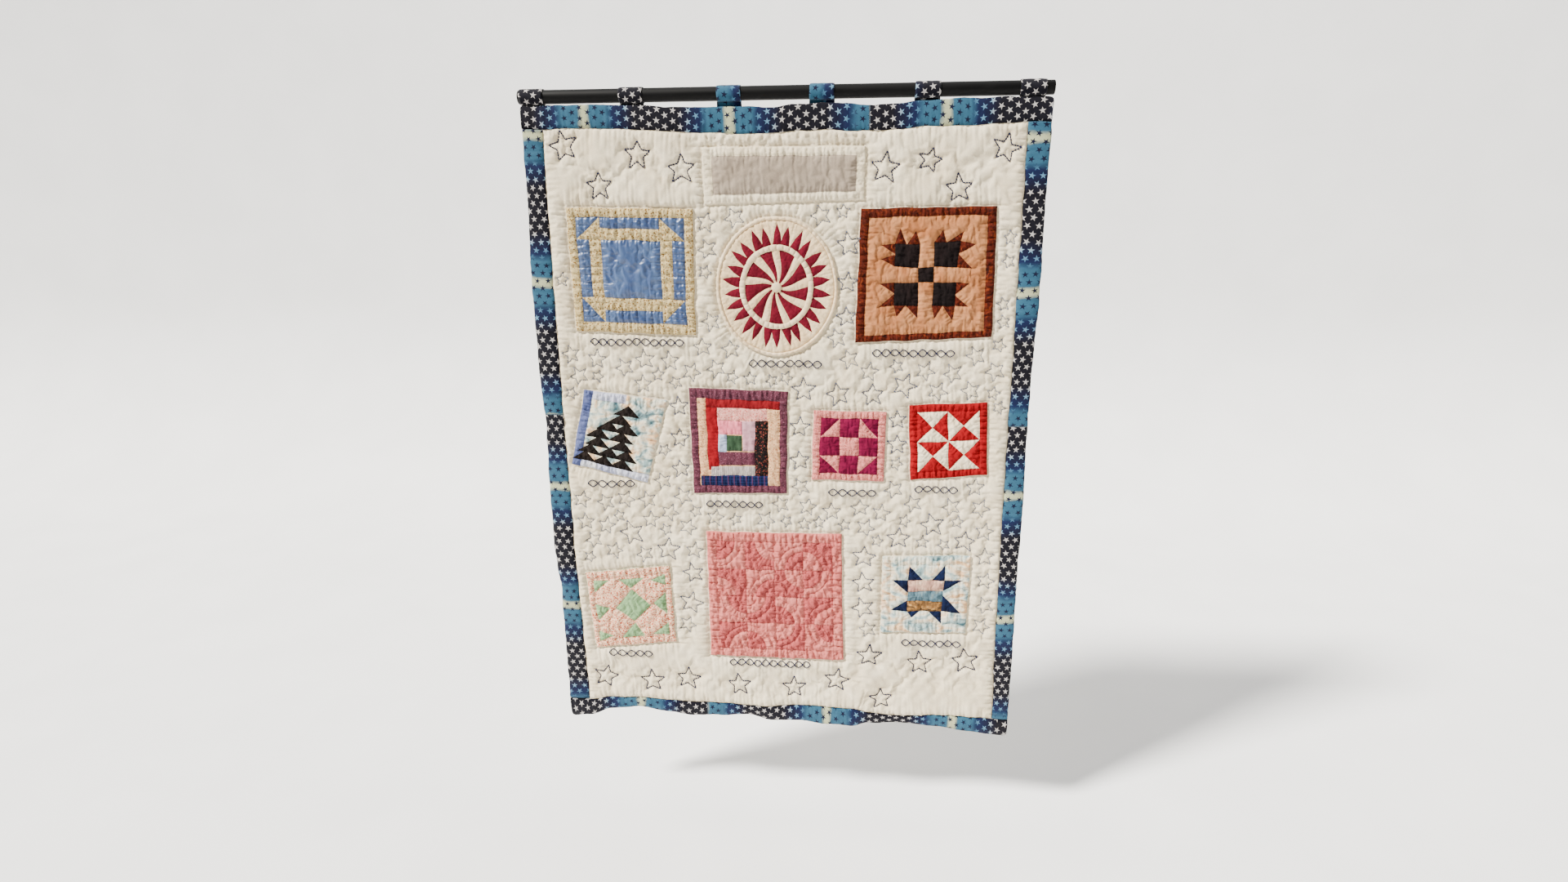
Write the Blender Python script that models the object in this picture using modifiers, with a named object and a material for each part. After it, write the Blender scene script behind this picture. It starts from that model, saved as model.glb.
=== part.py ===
"""A patchwork wall quilt hanging by fabric tabs from a round rod.

Metres, +Z up. The quilt's front faces -Y. The origin is on the rod's axis at its middle.
Depths are measured from the quilt's front plane: positive is towards the viewer.
"""
import math
from collections import namedtuple

import bmesh
import bpy
from mathutils import Matrix, Vector
from mathutils.geometry import delaunay_2d_cdt

# Driving dimensions
ROD_DIAMETER = 0.032
ROD_LENGTH = 1.250
ROD_CHAMFER = 0.001
ROD_SIDES = 28
GAP = 0.0003

TAB_WIDTH = 0.057
TAB_CLOTH = 0.0022
TAB_TAIL = 0.046
TAB_STEPS = 20
TAB_X = (-0.591, -0.350, -0.117, 0.100, 0.342, 0.577)

QUILT_THICKNESS = 0.008
FRONT_PLANE = -(TAB_CLOTH + GAP + QUILT_THICKNESS + 0.0001)
SEAM_DEPTH = 0.0020
STITCH_DEPTH = 0.0026
BORDER_CROWN = 0.0012
BORDER_EDGE = 0.0030
CORNER_ROUND = 0.009

PANEL_GAP = 0.0006
PANEL_EDGE = 0.0010
PANEL_SEAM = 0.0013
PANEL_PUFF = 0.0034
PANEL_SHOULDER = 0.009
VALLEY_REACH = 0.004
CREASE_ANGLE = 12.0

# Cross stations of the hung cloth
FieldRow = namedtuple("FieldRow", "z outer_left inner_left inner_right outer_right")
SIDE_EDGES = (
    FieldRow(-0.019, -0.6205, -0.5690, 0.5700, 0.6230),
    FieldRow(-0.250, -0.6220, -0.5710, 0.5710, 0.6225),
    FieldRow(-0.430, -0.6285, -0.5730, 0.5710, 0.6235),
    FieldRow(-0.700, -0.6280, -0.5730, 0.5715, 0.6200),
    FieldRow(-0.790, -0.6225, -0.5730, 0.5715, 0.6195),
    FieldRow(-1.000, -0.6280, -0.5725, 0.5720, 0.6230),
    FieldRow(-1.150, -0.6290, -0.5710, 0.5730, 0.6215),
    FieldRow(-1.280, -0.6185, -0.5680, 0.5750, 0.6230),
    FieldRow(-1.450, -0.6200, -0.5650, 0.5780, 0.6240),
    FieldRow(-1.600, -0.6200, -0.5625, 0.5815, 0.6245),
    FieldRow(-1.680, -0.6185, -0.5620, 0.5820, 0.6245),
)

TopRow = namedtuple("TopRow", "x outer inner")
TOP_EDGES = (
    TopRow(-0.630, -0.0190, -0.0738),
    TopRow(-0.566, -0.0190, -0.0732),
    TopRow(-0.460, -0.0194, -0.0720),
    TopRow(-0.350, -0.0222, -0.0766),
    TopRow(-0.217, -0.0295, -0.0842),
    TopRow(-0.117, -0.0292, -0.0888),
    TopRow(-0.030, -0.0316, -0.0898),
    TopRow(0.055, -0.0262, -0.0850),
    TopRow(0.100, -0.0238, -0.0842),
    TopRow(0.210, -0.0302, -0.0876),
    TopRow(0.280, -0.0288, -0.0850),
    TopRow(0.342, -0.0228, -0.0786),
    TopRow(0.430, -0.0200, -0.0798),
    TopRow(0.530, -0.0190, -0.0753),
    TopRow(0.630, -0.0190, -0.0700),
)

BottomRow = namedtuple("BottomRow", "x inner outer")
BOTTOM_EDGES = (
    BottomRow(-0.630, -1.6250, -1.6790),
    BottomRow(-0.562, -1.6215, -1.6710),
    BottomRow(-0.500, -1.6130, -1.6495),
    BottomRow(-0.411, -1.6095, -1.6400),
    BottomRow(-0.330, -1.6120, -1.6500),
    BottomRow(-0.259, -1.6155, -1.6575),
    BottomRow(-0.180, -1.6155, -1.6555),
    BottomRow(-0.098, -1.6190, -1.6480),
    BottomRow(-0.040, -1.6210, -1.6600),
    BottomRow(0.030, -1.6105, -1.6590),
    BottomRow(0.120, -1.6125, -1.6675),
    BottomRow(0.194, -1.6140, -1.6670),
    BottomRow(0.240, -1.6240, -1.6570),
    BottomRow(0.330, -1.6300, -1.6515),
    BottomRow(0.435, -1.6225, -1.6580),
    BottomRow(0.524, -1.6225, -1.6670),
    BottomRow(0.630, -1.6310, -1.6780),
)

# Soft folds of the hung cloth, each along a line, rising or sinking by its height
Fold = namedtuple("Fold", "x_top z_top x_low z_low half_width height")
FOLDS = (
    Fold(0.262, -0.090, 0.222, -0.230, 0.016, 0.0035),
    Fold(0.322, -0.085, 0.262, -0.215, 0.016, 0.0025),
    Fold(0.233, -1.130, 0.236, -1.640, 0.018, 0.0040),
    Fold(-0.272, -0.080, -0.262, -0.250, 0.014, 0.0020),
    Fold(0.590, -0.250, 0.596, -0.640, 0.030, 0.0030),
    Fold(-0.598, -0.420, -0.600, -0.900, 0.030, 0.0030),
    Fold(-0.594, -1.080, -0.592, -1.380, 0.030, 0.0035),
    Fold(0.598, -0.900, 0.600, -1.300, 0.030, 0.0030),
)
HEM_WAVE_HEIGHT = 0.0055
HEM_WAVE_REACH = 0.150
HEM_LINE = -1.680
HEM_WAVES = ((-0.56, 0.10), (-0.32, 0.12), (-0.02, 0.10), (0.19, 0.11), (0.53, 0.12))

# Blocks: corners clockwise from the top left, then seam places as shares of the width and height
Block = namedtuple("Block", "name colour top_left top_right low_right low_left across down")
THIRDS = (0.09, 0.363, 0.636, 0.91)
BLOCKS = (
    Block("label_panel", (0.62, 0.57, 0.50), (-0.184, -0.1180), (0.204, -0.1210),
          (0.203, -0.2400), (-0.181, -0.2480), (0.06, 0.94), (0.18, 0.80)),
    Block("block_churn_dash", (0.15, 0.27, 0.50), (-0.527, -0.2530), (-0.211, -0.2590),
          (-0.214, -0.5650), (-0.521, -0.5560), (0.07, 0.17, 0.26, 0.74, 0.83, 0.93),
          (0.065, 0.157, 0.25, 0.714, 0.814, 0.914)),
    Block("block_paw", (0.60, 0.35, 0.22), (0.194, -0.2610), (0.512, -0.2570),
          (0.518, -0.5640), (0.186, -0.5800), (0.07, 0.27, 0.45, 0.56, 0.73, 0.93),
          (0.06, 0.26, 0.45, 0.55, 0.72, 0.93)),
    Block("block_geese", (0.55, 0.58, 0.62), (-0.511, -0.7080), (-0.296, -0.7340),
          (-0.358, -0.9580), (-0.561, -0.9090), (0.10, 0.40, 0.64), (0.14, 0.34, 0.52, 0.72, 0.92)),
    Block("block_cabin", (0.28, 0.10, 0.14), (-0.237, -0.6990), (0.018, -0.7060),
          (0.014, -0.9780), (-0.232, -0.9840), (0.07, 0.18, 0.29, 0.55, 0.68, 0.81, 0.92),
          (0.08, 0.18, 0.29, 0.43, 0.59, 0.72, 0.82, 0.93)),
    Block("block_shoofly", (0.28, 0.01, 0.08), (0.084, -0.7540), (0.268, -0.7560),
          (0.266, -0.9400), (0.080, -0.9390), THIRDS, THIRDS),
    Block("block_bow_tie", (0.42, 0.02, 0.03), (0.324, -0.7370), (0.517, -0.7280),
          (0.527, -0.9160), (0.334, -0.9340), (0.10, 0.30, 0.50, 0.70, 0.90),
          (0.10, 0.30, 0.50, 0.70, 0.90)),
    Block("block_britches", (0.62, 0.42, 0.30), (-0.546, -1.2250), (-0.309, -1.1960),
          (-0.298, -1.4250), (-0.529, -1.4530), (0.08, 0.29, 0.50, 0.71, 0.92),
          (0.08, 0.29, 0.50, 0.71, 0.92)),
    Block("block_curves", (0.60, 0.25, 0.23), (-0.203, -1.0930), (0.158, -1.0890),
          (0.169, -1.4620), (-0.201, -1.4630), (0.03, 0.265, 0.50, 0.735, 0.97),
          (0.03, 0.265, 0.50, 0.735, 0.97)),
    Block("block_star", (0.60, 0.60, 0.55), (0.269, -1.1490), (0.498, -1.1400),
          (0.496, -1.3650), (0.268, -1.3710), (0.10, 0.30, 0.50, 0.70, 0.90),
          (0.12, 0.31, 0.50, 0.69, 0.88)),
)

# The wheel block, a little taller than wide as it hangs
WHEEL_X = -0.008
WHEEL_Z = -0.4455
WHEEL_HALF_WIDTH = 0.142
WHEEL_HALF_HEIGHT = 0.161
WHEEL_STEPS = 36
WHEEL_SHARES = (0.11, 0.32, 0.54, 0.65, 0.78, 0.93, 1.0)
WHEEL_HEIGHTS = (0.0018, 0.0034, 0.0018, 0.0018, 0.0032, 0.0026, 0.0012)
RING_BAND = (0.545, 0.645)
RING_HEIGHT = 0.0020
RIM_WIDTH = 0.0075
RIM_HEIGHT = 0.0030
HUB_RADIUS = 0.0125
HUB_HEIGHT = 0.0065

# Quilted stars in darker thread: centre, reach of a point and tilt in degrees
Star = namedtuple("Star", "x z reach tilt")
DARK_STARS = (
    Star(-0.521, -0.1120, 0.036, 12),
    Star(-0.341, -0.1340, 0.034, -4),
    Star(-0.439, -0.2050, 0.035, 2),
    Star(-0.236, -0.1670, 0.035, 3),
    Star(0.249, -0.1690, 0.036, -6),
    Star(0.352, -0.1530, 0.030, -16),
    Star(0.422, -0.2160, 0.033, 4),
    Star(0.524, -0.1290, 0.034, -14),
    Star(-0.508, -1.5450, 0.036, -14),
    Star(-0.373, -1.5530, 0.036, 4),
    Star(-0.269, -1.5410, 0.035, -6),
    Star(-0.123, -1.5540, 0.034, 2),
    Star(0.032, -1.5540, 0.034, 0),
    Star(0.151, -1.5270, 0.036, -6),
    Star(0.274, -1.5780, 0.033, 6),
    Star(0.239, -1.4450, 0.034, -2),
    Star(0.376, -1.4620, 0.035, 2),
    Star(0.499, -1.4500, 0.038, 8),
)
GREY_STARS = (
    Star(0.167, -0.3430, 0.031, 6),
    Star(0.166, -0.4330, 0.026, -4),
    Star(0.164, -0.5170, 0.026, 6),
    Star(0.058, -0.7020, 0.032, 2),
    Star(0.146, -0.7130, 0.032, 14),
    Star(0.233, -0.7130, 0.030, 4),
    Star(0.311, -0.6880, 0.032, -20),
    Star(0.048, -0.8000, 0.028, -4),
    Star(0.048, -0.8900, 0.028, 6),
    Star(0.296, -0.7760, 0.024, 4),
    Star(0.297, -0.8420, 0.027, 0),
    Star(-0.265, -0.7500, 0.027, 6),
    Star(-0.266, -0.8340, 0.028, -6),
    Star(-0.266, -0.9180, 0.026, 4),
    Star(-0.408, -1.1030, 0.036, 16),
    Star(-0.310, -1.1480, 0.034, -4),
    Star(-0.243, -1.2160, 0.030, 12),
    Star(-0.252, -1.3050, 0.034, -12),
    Star(0.219, -1.1530, 0.032, -2),
    Star(0.219, -1.2280, 0.031, 8),
    Star(0.219, -1.3020, 0.031, 20),
    Star(0.309, -1.0980, 0.031, 0),
    Star(0.394, -1.0580, 0.033, 12),
    Star(0.479, -1.1020, 0.029, -6),
)

# Places below the blocks that have no quilting: centre and half sizes
BareSpot = namedtuple("BareSpot", "x z half_width half_height")
BARE_SPOTS = (
    BareSpot(-0.365, -0.583, 0.145, 0.022),
    BareSpot(0.012, -0.634, 0.110, 0.022),
    BareSpot(0.330, -0.605, 0.120, 0.020),
    BareSpot(-0.455, -0.962, 0.075, 0.022),
    BareSpot(-0.125, -1.012, 0.090, 0.020),
    BareSpot(0.185, -0.972, 0.075, 0.020),
    BareSpot(0.400, -0.958, 0.065, 0.020),
    BareSpot(-0.430, -1.465, 0.075, 0.020),
    BareSpot(-0.036, -1.480, 0.135, 0.018),
    BareSpot(0.405, -1.398, 0.095, 0.018),
    BareSpot(0.460, -1.535, 0.110, 0.040),
)

# The filling stars: their grid, how unevenly they are spread and what they keep clear of
FILL_PITCH = 0.064
FILL_STEP = FILL_PITCH / 4
FILL_REACH = 0.0255
FILL_SPACING = 0.057
FILL_JITTER = 0.006
FILL_TILT = 25.0
FILL_TOP = -0.270
FILL_LOW = -1.405
FILL_HALF_WIDTH = 0.60
STAR_TO_STAR = 0.004
STAR_TO_BORDER = 0.006
STAR_TO_BLOCK = 0.002
SPOT_OVERLAP = 0.8
STAR_WAIST = 0.44
STAR_CROWN = 0.0007
ARM_SHARE = 0.58

# The padding's high points between the stitched lines, in front and behind
PointGrid = namedtuple("PointGrid", "left right top low step_x step_z")
FRONT_GRID = PointGrid(-0.58, 0.59, -0.095, -1.625, 0.036, 0.036 * 0.866)
BACK_GRID = PointGrid(-0.54, 0.56, -0.120, -1.600, 0.055, 0.060)
PUFF_CLEAR = 0.010
EDGE_CLEAR = 0.020
STATION = 0.045

# Across a border strip, from its seam round to the back: a share of its width, and a depth
BORDER_PROFILE = (
    (0.0, -SEAM_DEPTH),
    (0.25, BORDER_CROWN / 2),
    (0.60, BORDER_CROWN),
    (0.88, 0.0),
    (1.0, -BORDER_EDGE),
    (0.985, -QUILT_THICKNESS + 0.0012),
    (0.90, -QUILT_THICKNESS),
    (0.0, -QUILT_THICKNESS),
)
TOP_STRIP_LEVEL = -0.045
LOW_STRIP_LEVEL = -1.650

CLOTH = bpy.data.collections.new("quilt_on_rod")
bpy.context.scene.collection.children.link(CLOTH)


def clear_scene():
    for old in list(bpy.data.objects):
        bpy.data.objects.remove(old, do_unlink=True)


def finish(name, colour, roughness, metallic=0.0):
    """A material's name, colour, roughness and metallic value."""
    return dict(name=name, colour=colour, roughness=roughness, metallic=metallic)


def material(look):
    mat = bpy.data.materials.new(look["name"])
    mat.use_nodes = True
    shader = mat.node_tree.nodes["Principled BSDF"]
    shader.inputs["Base Color"].default_value = (*look["colour"], 1.0)
    shader.inputs["Roughness"].default_value = look["roughness"]
    shader.inputs["Metallic"].default_value = look["metallic"]
    return mat


def keep(obj, look):
    """Move an object into the quilt's collection with its own material."""
    for holder in list(obj.users_collection):
        holder.objects.unlink(obj)
    CLOTH.objects.link(obj)
    obj.data.materials.append(material(look))
    return obj


def smooth_rows(rows, key, field):
    """A smooth curve through one column of a table, as a function of its key column."""
    xs = [getattr(row, key) for row in rows]
    ys = [getattr(row, field) for row in rows]
    if xs[0] > xs[-1]:
        xs.reverse()
        ys.reverse()

    def at(x):
        i = 0
        while i < len(xs) - 2 and x > xs[i + 1]:
            i += 1
        span = xs[i + 1] - xs[i]
        t = min(max((x - xs[i]) / span, 0.0), 1.0)
        ease = t * t * (3.0 - 2.0 * t)
        return ys[i] + (ys[i + 1] - ys[i]) * ease

    return at


outer_left = smooth_rows(SIDE_EDGES, "z", "outer_left")
inner_left = smooth_rows(SIDE_EDGES, "z", "inner_left")
inner_right = smooth_rows(SIDE_EDGES, "z", "inner_right")
outer_right = smooth_rows(SIDE_EDGES, "z", "outer_right")
outer_top = smooth_rows(TOP_EDGES, "x", "outer")
inner_top = smooth_rows(TOP_EDGES, "x", "inner")
inner_bottom = smooth_rows(BOTTOM_EDGES, "x", "inner")
outer_bottom = smooth_rows(BOTTOM_EDGES, "x", "outer")


def fold_height(fold, x, z):
    """A soft ridge along the fold's line that dies away at its ends."""
    along = Vector((fold.x_low - fold.x_top, fold.z_low - fold.z_top))
    to_point = Vector((x - fold.x_top, z - fold.z_top))
    share = to_point.dot(along) / along.length_squared
    if share <= 0.0 or share >= 1.0:
        return 0.0
    aside = (to_point - along * share).length / fold.half_width
    if aside >= 2.0:
        return 0.0
    crest = 0.5 + 0.5 * math.cos(aside * math.pi / 2.0)
    return fold.height * crest * math.sin(share * math.pi) ** 0.5


def relief(x, z):
    """How far the hung cloth stands towards the viewer from its flat plane."""
    height = sum(fold_height(fold, x, z) for fold in FOLDS)
    low = (z - HEM_LINE) / HEM_WAVE_REACH
    if low < 1.0:
        fade = (1.0 - max(low, 0.0)) ** 2
        for centre, half in HEM_WAVES:
            aside = abs(x - centre) / half
            if aside < 1.0:
                height += HEM_WAVE_HEIGHT * fade * (0.5 + 0.5 * math.cos(math.pi * aside))
    return height


def place(x, z, depth):
    """The point of the cloth at x, z and a depth in front of the quilt's front plane."""
    return Vector((x, FRONT_PLANE - depth - relief(x, z), z))


def stations(low, high, pitch):
    count = max(2, round((high - low) / pitch))
    return [low + (high - low) * i / count for i in range(count + 1)]


def mesh_object(name, verts, faces, look):
    """An object from points and faces, with its faces turned outwards."""
    mesh = bpy.data.meshes.new(name)
    bm = bmesh.new()
    points = [bm.verts.new(v) for v in verts]
    for face in faces:
        bm.faces.new([points[i] for i in face])
    bmesh.ops.recalc_face_normals(bm, faces=bm.faces)
    bm.to_mesh(mesh)
    bm.free()
    mesh.shade_smooth()
    mesh.set_sharp_from_angle(angle=math.radians(CREASE_ANGLE))
    obj = bpy.data.objects.new(name, mesh)
    bpy.context.scene.collection.objects.link(obj)
    return keep(obj, look)


# The rod and the tabs

def build_rod():
    bpy.ops.mesh.primitive_cylinder_add(vertices=ROD_SIDES, radius=ROD_DIAMETER / 2, depth=ROD_LENGTH)
    rod = bpy.context.object
    rod.name = "rod"
    rod.rotation_euler = (0.0, math.pi / 2, 0.0)
    edge = rod.modifiers.new("edge", "BEVEL")
    edge.width = ROD_CHAMFER
    edge.segments = 1
    edge.limit_method = "ANGLE"
    edge.angle_limit = math.radians(60.0)
    rod.data.shade_smooth()
    rod.data.set_sharp_from_angle(angle=math.radians(40.0))
    keep(rod, finish("rod", (0.012, 0.011, 0.012), 0.45))


def tab_section():
    """A hugging loop round the rod whose two ends come together below it, as one outline."""
    inner = ROD_DIAMETER / 2 + GAP
    outer = inner + TAB_CLOTH
    neck = math.asin(TAB_CLOTH / outer)
    steps = TAB_STEPS
    loop = []
    for i in range(steps + 1):
        angle = -math.pi / 2 + neck + (2 * math.pi - 2 * neck) * i / steps
        loop.append((outer * math.cos(angle), outer * math.sin(angle)))
    foot = -outer - TAB_TAIL
    loop.append((-TAB_CLOTH, foot + TAB_CLOTH / 2))
    loop.append((-TAB_CLOTH / 2, foot))
    loop.append((TAB_CLOTH / 2, foot))
    loop.append((TAB_CLOTH, foot + TAB_CLOTH / 2))
    hole = []
    for i in range(steps):
        angle = 2 * math.pi * i / steps
        hole.append((inner / math.cos(math.pi / steps) * math.cos(angle),
                     inner / math.cos(math.pi / steps) * math.sin(angle)))
    return loop, hole


def build_tabs():
    loop, hole = tab_section()
    for number, x in enumerate(TAB_X, start=1):
        curve = bpy.data.curves.new(f"tab_{number}", "CURVE")
        curve.dimensions = "2D"
        curve.fill_mode = "BOTH"
        curve.extrude = TAB_WIDTH / 2
        for ring in (loop, hole):
            spline = curve.splines.new("POLY")
            spline.points.add(len(ring) - 1)
            for point, (across, up) in zip(spline.points, ring):
                point.co = (across, up, 0.0, 1.0)
            spline.use_cyclic_u = True
        tab = bpy.data.objects.new(f"tab_{number}", curve)
        bpy.context.scene.collection.objects.link(tab)
        tab.matrix_world = Matrix(((0, 0, 1, x), (1, 0, 0, 0), (0, 1, 0, 0), (0, 0, 0, 1)))
        weld = tab.modifiers.new("weld", "WELD")
        weld.merge_threshold = 0.00001
        keep(tab, finish(f"tab_{number}", (0.03, 0.05, 0.12), 0.85))


# The quilted ground

def star_outline(star):
    """The ten corners of a five-pointed star, point up before its tilt."""
    corners = []
    for i in range(10):
        reach = star.reach if i % 2 == 0 else star.reach * STAR_WAIST
        angle = math.radians(90.0 + star.tilt) + i * math.pi / 5
        corners.append((star.x + reach * math.cos(angle), star.z + reach * math.sin(angle)))
    return corners


def star_crests(star):
    """The padded top of a star: its middle, and a point on the crest of each arm."""
    crests = [(star.x, star.z, STAR_CROWN)]
    for i in range(5):
        reach = star.reach * ARM_SHARE
        angle = math.radians(90.0 + star.tilt) + i * 2 * math.pi / 5
        crests.append((star.x + reach * math.cos(angle), star.z + reach * math.sin(angle), 0.0))
    return crests


def inside(x, z, corners):
    """Whether a point lies inside a polygon."""
    hit = False
    for (x1, z1), (x2, z2) in zip(corners, corners[1:] + corners[:1]):
        if (z1 > z) != (z2 > z) and x < x1 + (z - z1) * (x2 - x1) / (z2 - z1):
            hit = not hit
    return hit


def distance_to(x, z, corners):
    """The distance from a point to a polygon's nearest side."""
    best = 1.0
    point = Vector((x, z))
    for a, b in zip(corners, corners[1:] + corners[:1]):
        start = Vector(a)
        side = Vector(b) - start
        share = min(max((point - start).dot(side) / side.length_squared, 0.0), 1.0)
        best = min(best, (point - start - side * share).length)
    return best


def block_corners(block):
    return [block.top_left, block.top_right, block.low_right, block.low_left]


def grown(corners, reach):
    """A polygon's corners moved outwards from its middle."""
    middle = Vector((0.0, 0.0))
    for corner in corners:
        middle += Vector(corner) / len(corners)
    moved = []
    for x, z in corners:
        moved.append((x + math.copysign(reach, x - middle.x), z + math.copysign(reach, z - middle.y)))
    return moved


def split_sides(corners, pitch):
    """A polygon's outline with points at most a pitch apart."""
    points = []
    for a, b in zip(corners, corners[1:] + corners[:1]):
        count = max(1, round((Vector(b) - Vector(a)).length / pitch))
        for i in range(count):
            t = i / count
            points.append((a[0] + (b[0] - a[0]) * t, a[1] + (b[1] - a[1]) * t))
    return points


def wheel_oval(share, extra=0.0):
    ring = []
    for i in range(WHEEL_STEPS):
        angle = 2 * math.pi * i / WHEEL_STEPS
        ring.append((WHEEL_X + (WHEEL_HALF_WIDTH * share + extra) * math.cos(angle),
                     WHEEL_Z + (WHEEL_HALF_HEIGHT * share + extra) * math.sin(angle)))
    return ring


def sewn_outlines():
    """The stitched valley that runs round each block."""
    lines = [split_sides(grown(block_corners(block), VALLEY_REACH), STATION) for block in BLOCKS]
    lines.append(wheel_oval(1.0, RIM_WIDTH + VALLEY_REACH))
    return lines


def field_outline():
    """The ground's edge, from the top left corner clockwise."""
    left_top = inner_left(inner_top(SIDE_EDGES[0].inner_left))
    right_top = inner_right(inner_top(SIDE_EDGES[0].inner_right))
    left_low = inner_left(inner_bottom(SIDE_EDGES[-2].inner_left))
    right_low = inner_right(inner_bottom(SIDE_EDGES[-2].inner_right))
    top = [(x, inner_top(x)) for x in stations(left_top, right_top, STATION)]
    right = [(inner_right(z), z) for z in side_stations(right_top, right_low)]
    low = [(x, inner_bottom(x)) for x in stations(left_low, right_low, STATION)]
    left = [(inner_left(z), z) for z in side_stations(left_top, left_low)]
    return top, right, low, left


def side_stations(x_top, x_low):
    zs = stations(inner_bottom(x_low), inner_top(x_top), STATION)
    zs.reverse()
    return zs


def filling_stars(outlines):
    """Stars quilted in the ground's own colour, spread over what the blocks leave free."""
    placed = list(DARK_STARS + GREY_STARS)
    fillers = []
    row = 0
    z = FILL_TOP
    while z > FILL_LOW:
        x = -FILL_HALF_WIDTH + (FILL_PITCH / 2 if row % 2 else 0.0)
        while x < FILL_HALF_WIDTH:
            shift = FILL_JITTER * math.sin(31.0 * x + 17.0 * z)
            lift = FILL_JITTER * math.sin(47.0 * x - 23.0 * z)
            tilt = FILL_TILT * math.sin(53.0 * x + 41.0 * z)
            spot = Star(x + shift, z + lift, FILL_REACH, tilt)
            if star_fits(spot, placed, outlines):
                placed.append(spot)
                fillers.append(spot)
            x += FILL_STEP
        z -= FILL_STEP
        row += 1
    return fillers


def star_fits(star, placed, outlines):
    """Whether a filling star keeps clear of the border, other stars, bare places and blocks."""
    if star.x - star.reach < inner_left(star.z) + STAR_TO_BORDER:
        return False
    if star.x + star.reach > inner_right(star.z) - STAR_TO_BORDER:
        return False
    for other in placed:
        near = max(FILL_SPACING, star.reach + other.reach + STAR_TO_STAR)
        if math.hypot(star.x - other.x, star.z - other.z) < near:
            return False
    for spot in BARE_SPOTS:
        aside = abs(star.x - spot.x) < spot.half_width + star.reach * SPOT_OVERLAP
        level = abs(star.z - spot.z) < spot.half_height + star.reach * SPOT_OVERLAP
        if aside and level:
            return False
    for line in outlines:
        if inside(star.x, star.z, line):
            return False
        if distance_to(star.x, star.z, line) < star.reach + STAR_TO_BLOCK:
            return False
    return True


def puff_points(edge, outlines, stars):
    """Points at the top of the padding, kept clear of every stitched line."""
    star_lines = [(star, star_outline(star)) for star in stars]
    grid = FRONT_GRID
    points = []
    row = 0
    z = grid.top
    while z > grid.low:
        x = grid.left + (grid.step_x / 2 if row % 2 else 0.0)
        while x < grid.right:
            if puff_fits(x, z, edge, outlines, star_lines):
                points.append((x, z))
            x += grid.step_x
        z -= grid.step_z
        row += 1
    return points


def puff_fits(x, z, edge, outlines, star_lines):
    """Whether a high point keeps clear of the edge and of every stitched line."""
    if not inside(x, z, edge) or distance_to(x, z, edge) < EDGE_CLEAR:
        return False
    for line in outlines:
        if inside(x, z, line) or distance_to(x, z, line) < PUFF_CLEAR:
            return False
    for star, line in star_lines:
        near = math.hypot(x - star.x, z - star.z)
        if near < star.reach * 0.5:
            return False
        if near < star.reach + PUFF_CLEAR and distance_to(x, z, line) < PUFF_CLEAR:
            return False
    return True


def back_points(edge):
    """Points on the flat back, kept clear of its edge."""
    grid = BACK_GRID
    points = []
    z = grid.top
    while z > grid.low:
        x = grid.left
        while x < grid.right:
            if distance_to(x, z, edge) > EDGE_CLEAR:
                points.append((x, z))
            x += grid.step_x
        z -= grid.step_z
    return points


def build_ground():
    """The cream field: its stars and block edges are stitched valleys in a padded front."""
    top, right, low, left = field_outline()
    edge = top[:-1] + right[:-1] + low[:0:-1] + left[:0:-1]
    outlines = sewn_outlines()
    stars = list(DARK_STARS + GREY_STARS) + filling_stars(outlines)

    points = []
    depths = []
    lines = []

    def add_loop(corners, depth):
        first = len(points)
        points.extend(Vector(corner) for corner in corners)
        depths.extend([depth] * len(corners))
        count = len(corners)
        lines.extend((first + i, first + (i + 1) % count) for i in range(count))

    add_loop(edge, -SEAM_DEPTH)
    for outline in outlines:
        add_loop(outline, -PANEL_GAP)
    for star in stars:
        add_loop(star_outline(star), -STITCH_DEPTH)
        for x, z, depth in star_crests(star):
            points.append(Vector((x, z)))
            depths.append(depth)
    for puff in puff_points(edge, outlines, stars):
        points.append(Vector(puff))
        depths.append(0.0)
    front = triangulated(points, lines, depths)

    points = []
    depths = []
    lines = []
    add_loop(edge, -QUILT_THICKNESS)
    for spot in back_points(edge):
        points.append(Vector(spot))
        depths.append(-QUILT_THICKNESS)
    back = triangulated(points, lines, depths)
    join_faces("ground", front, back, len(edge), finish("ground", (0.76, 0.70, 0.58), 0.9))


def triangulated(points, lines, depths):
    """Triangles over points and stitched lines, with each point at its depth."""
    flat, _, faces, sources, _, _ = delaunay_2d_cdt(points, lines, [], 1, 1e-6)
    verts = []
    order = {}
    for i, spot in enumerate(flat):
        depth = depths[sources[i][0]] if sources[i] else -STITCH_DEPTH
        verts.append(place(spot.x, spot.y, depth))
        for source in sources[i]:
            order[source] = i
    return verts, [list(face) for face in faces], order


def join_faces(name, front, back, rim, look):
    """One closed solid from a front and a back that share an outline of rim points."""
    verts, faces, order = front
    shift = len(verts)
    verts = verts + back[0]
    faces = faces + [[i + shift for i in reversed(face)] for face in back[1]]
    for i in range(rim):
        j = (i + 1) % rim
        faces.append([order[i], order[j], back[2][j] + shift, back[2][i] + shift])
    return mesh_object(name, verts, faces, look)


# The border strips

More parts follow.
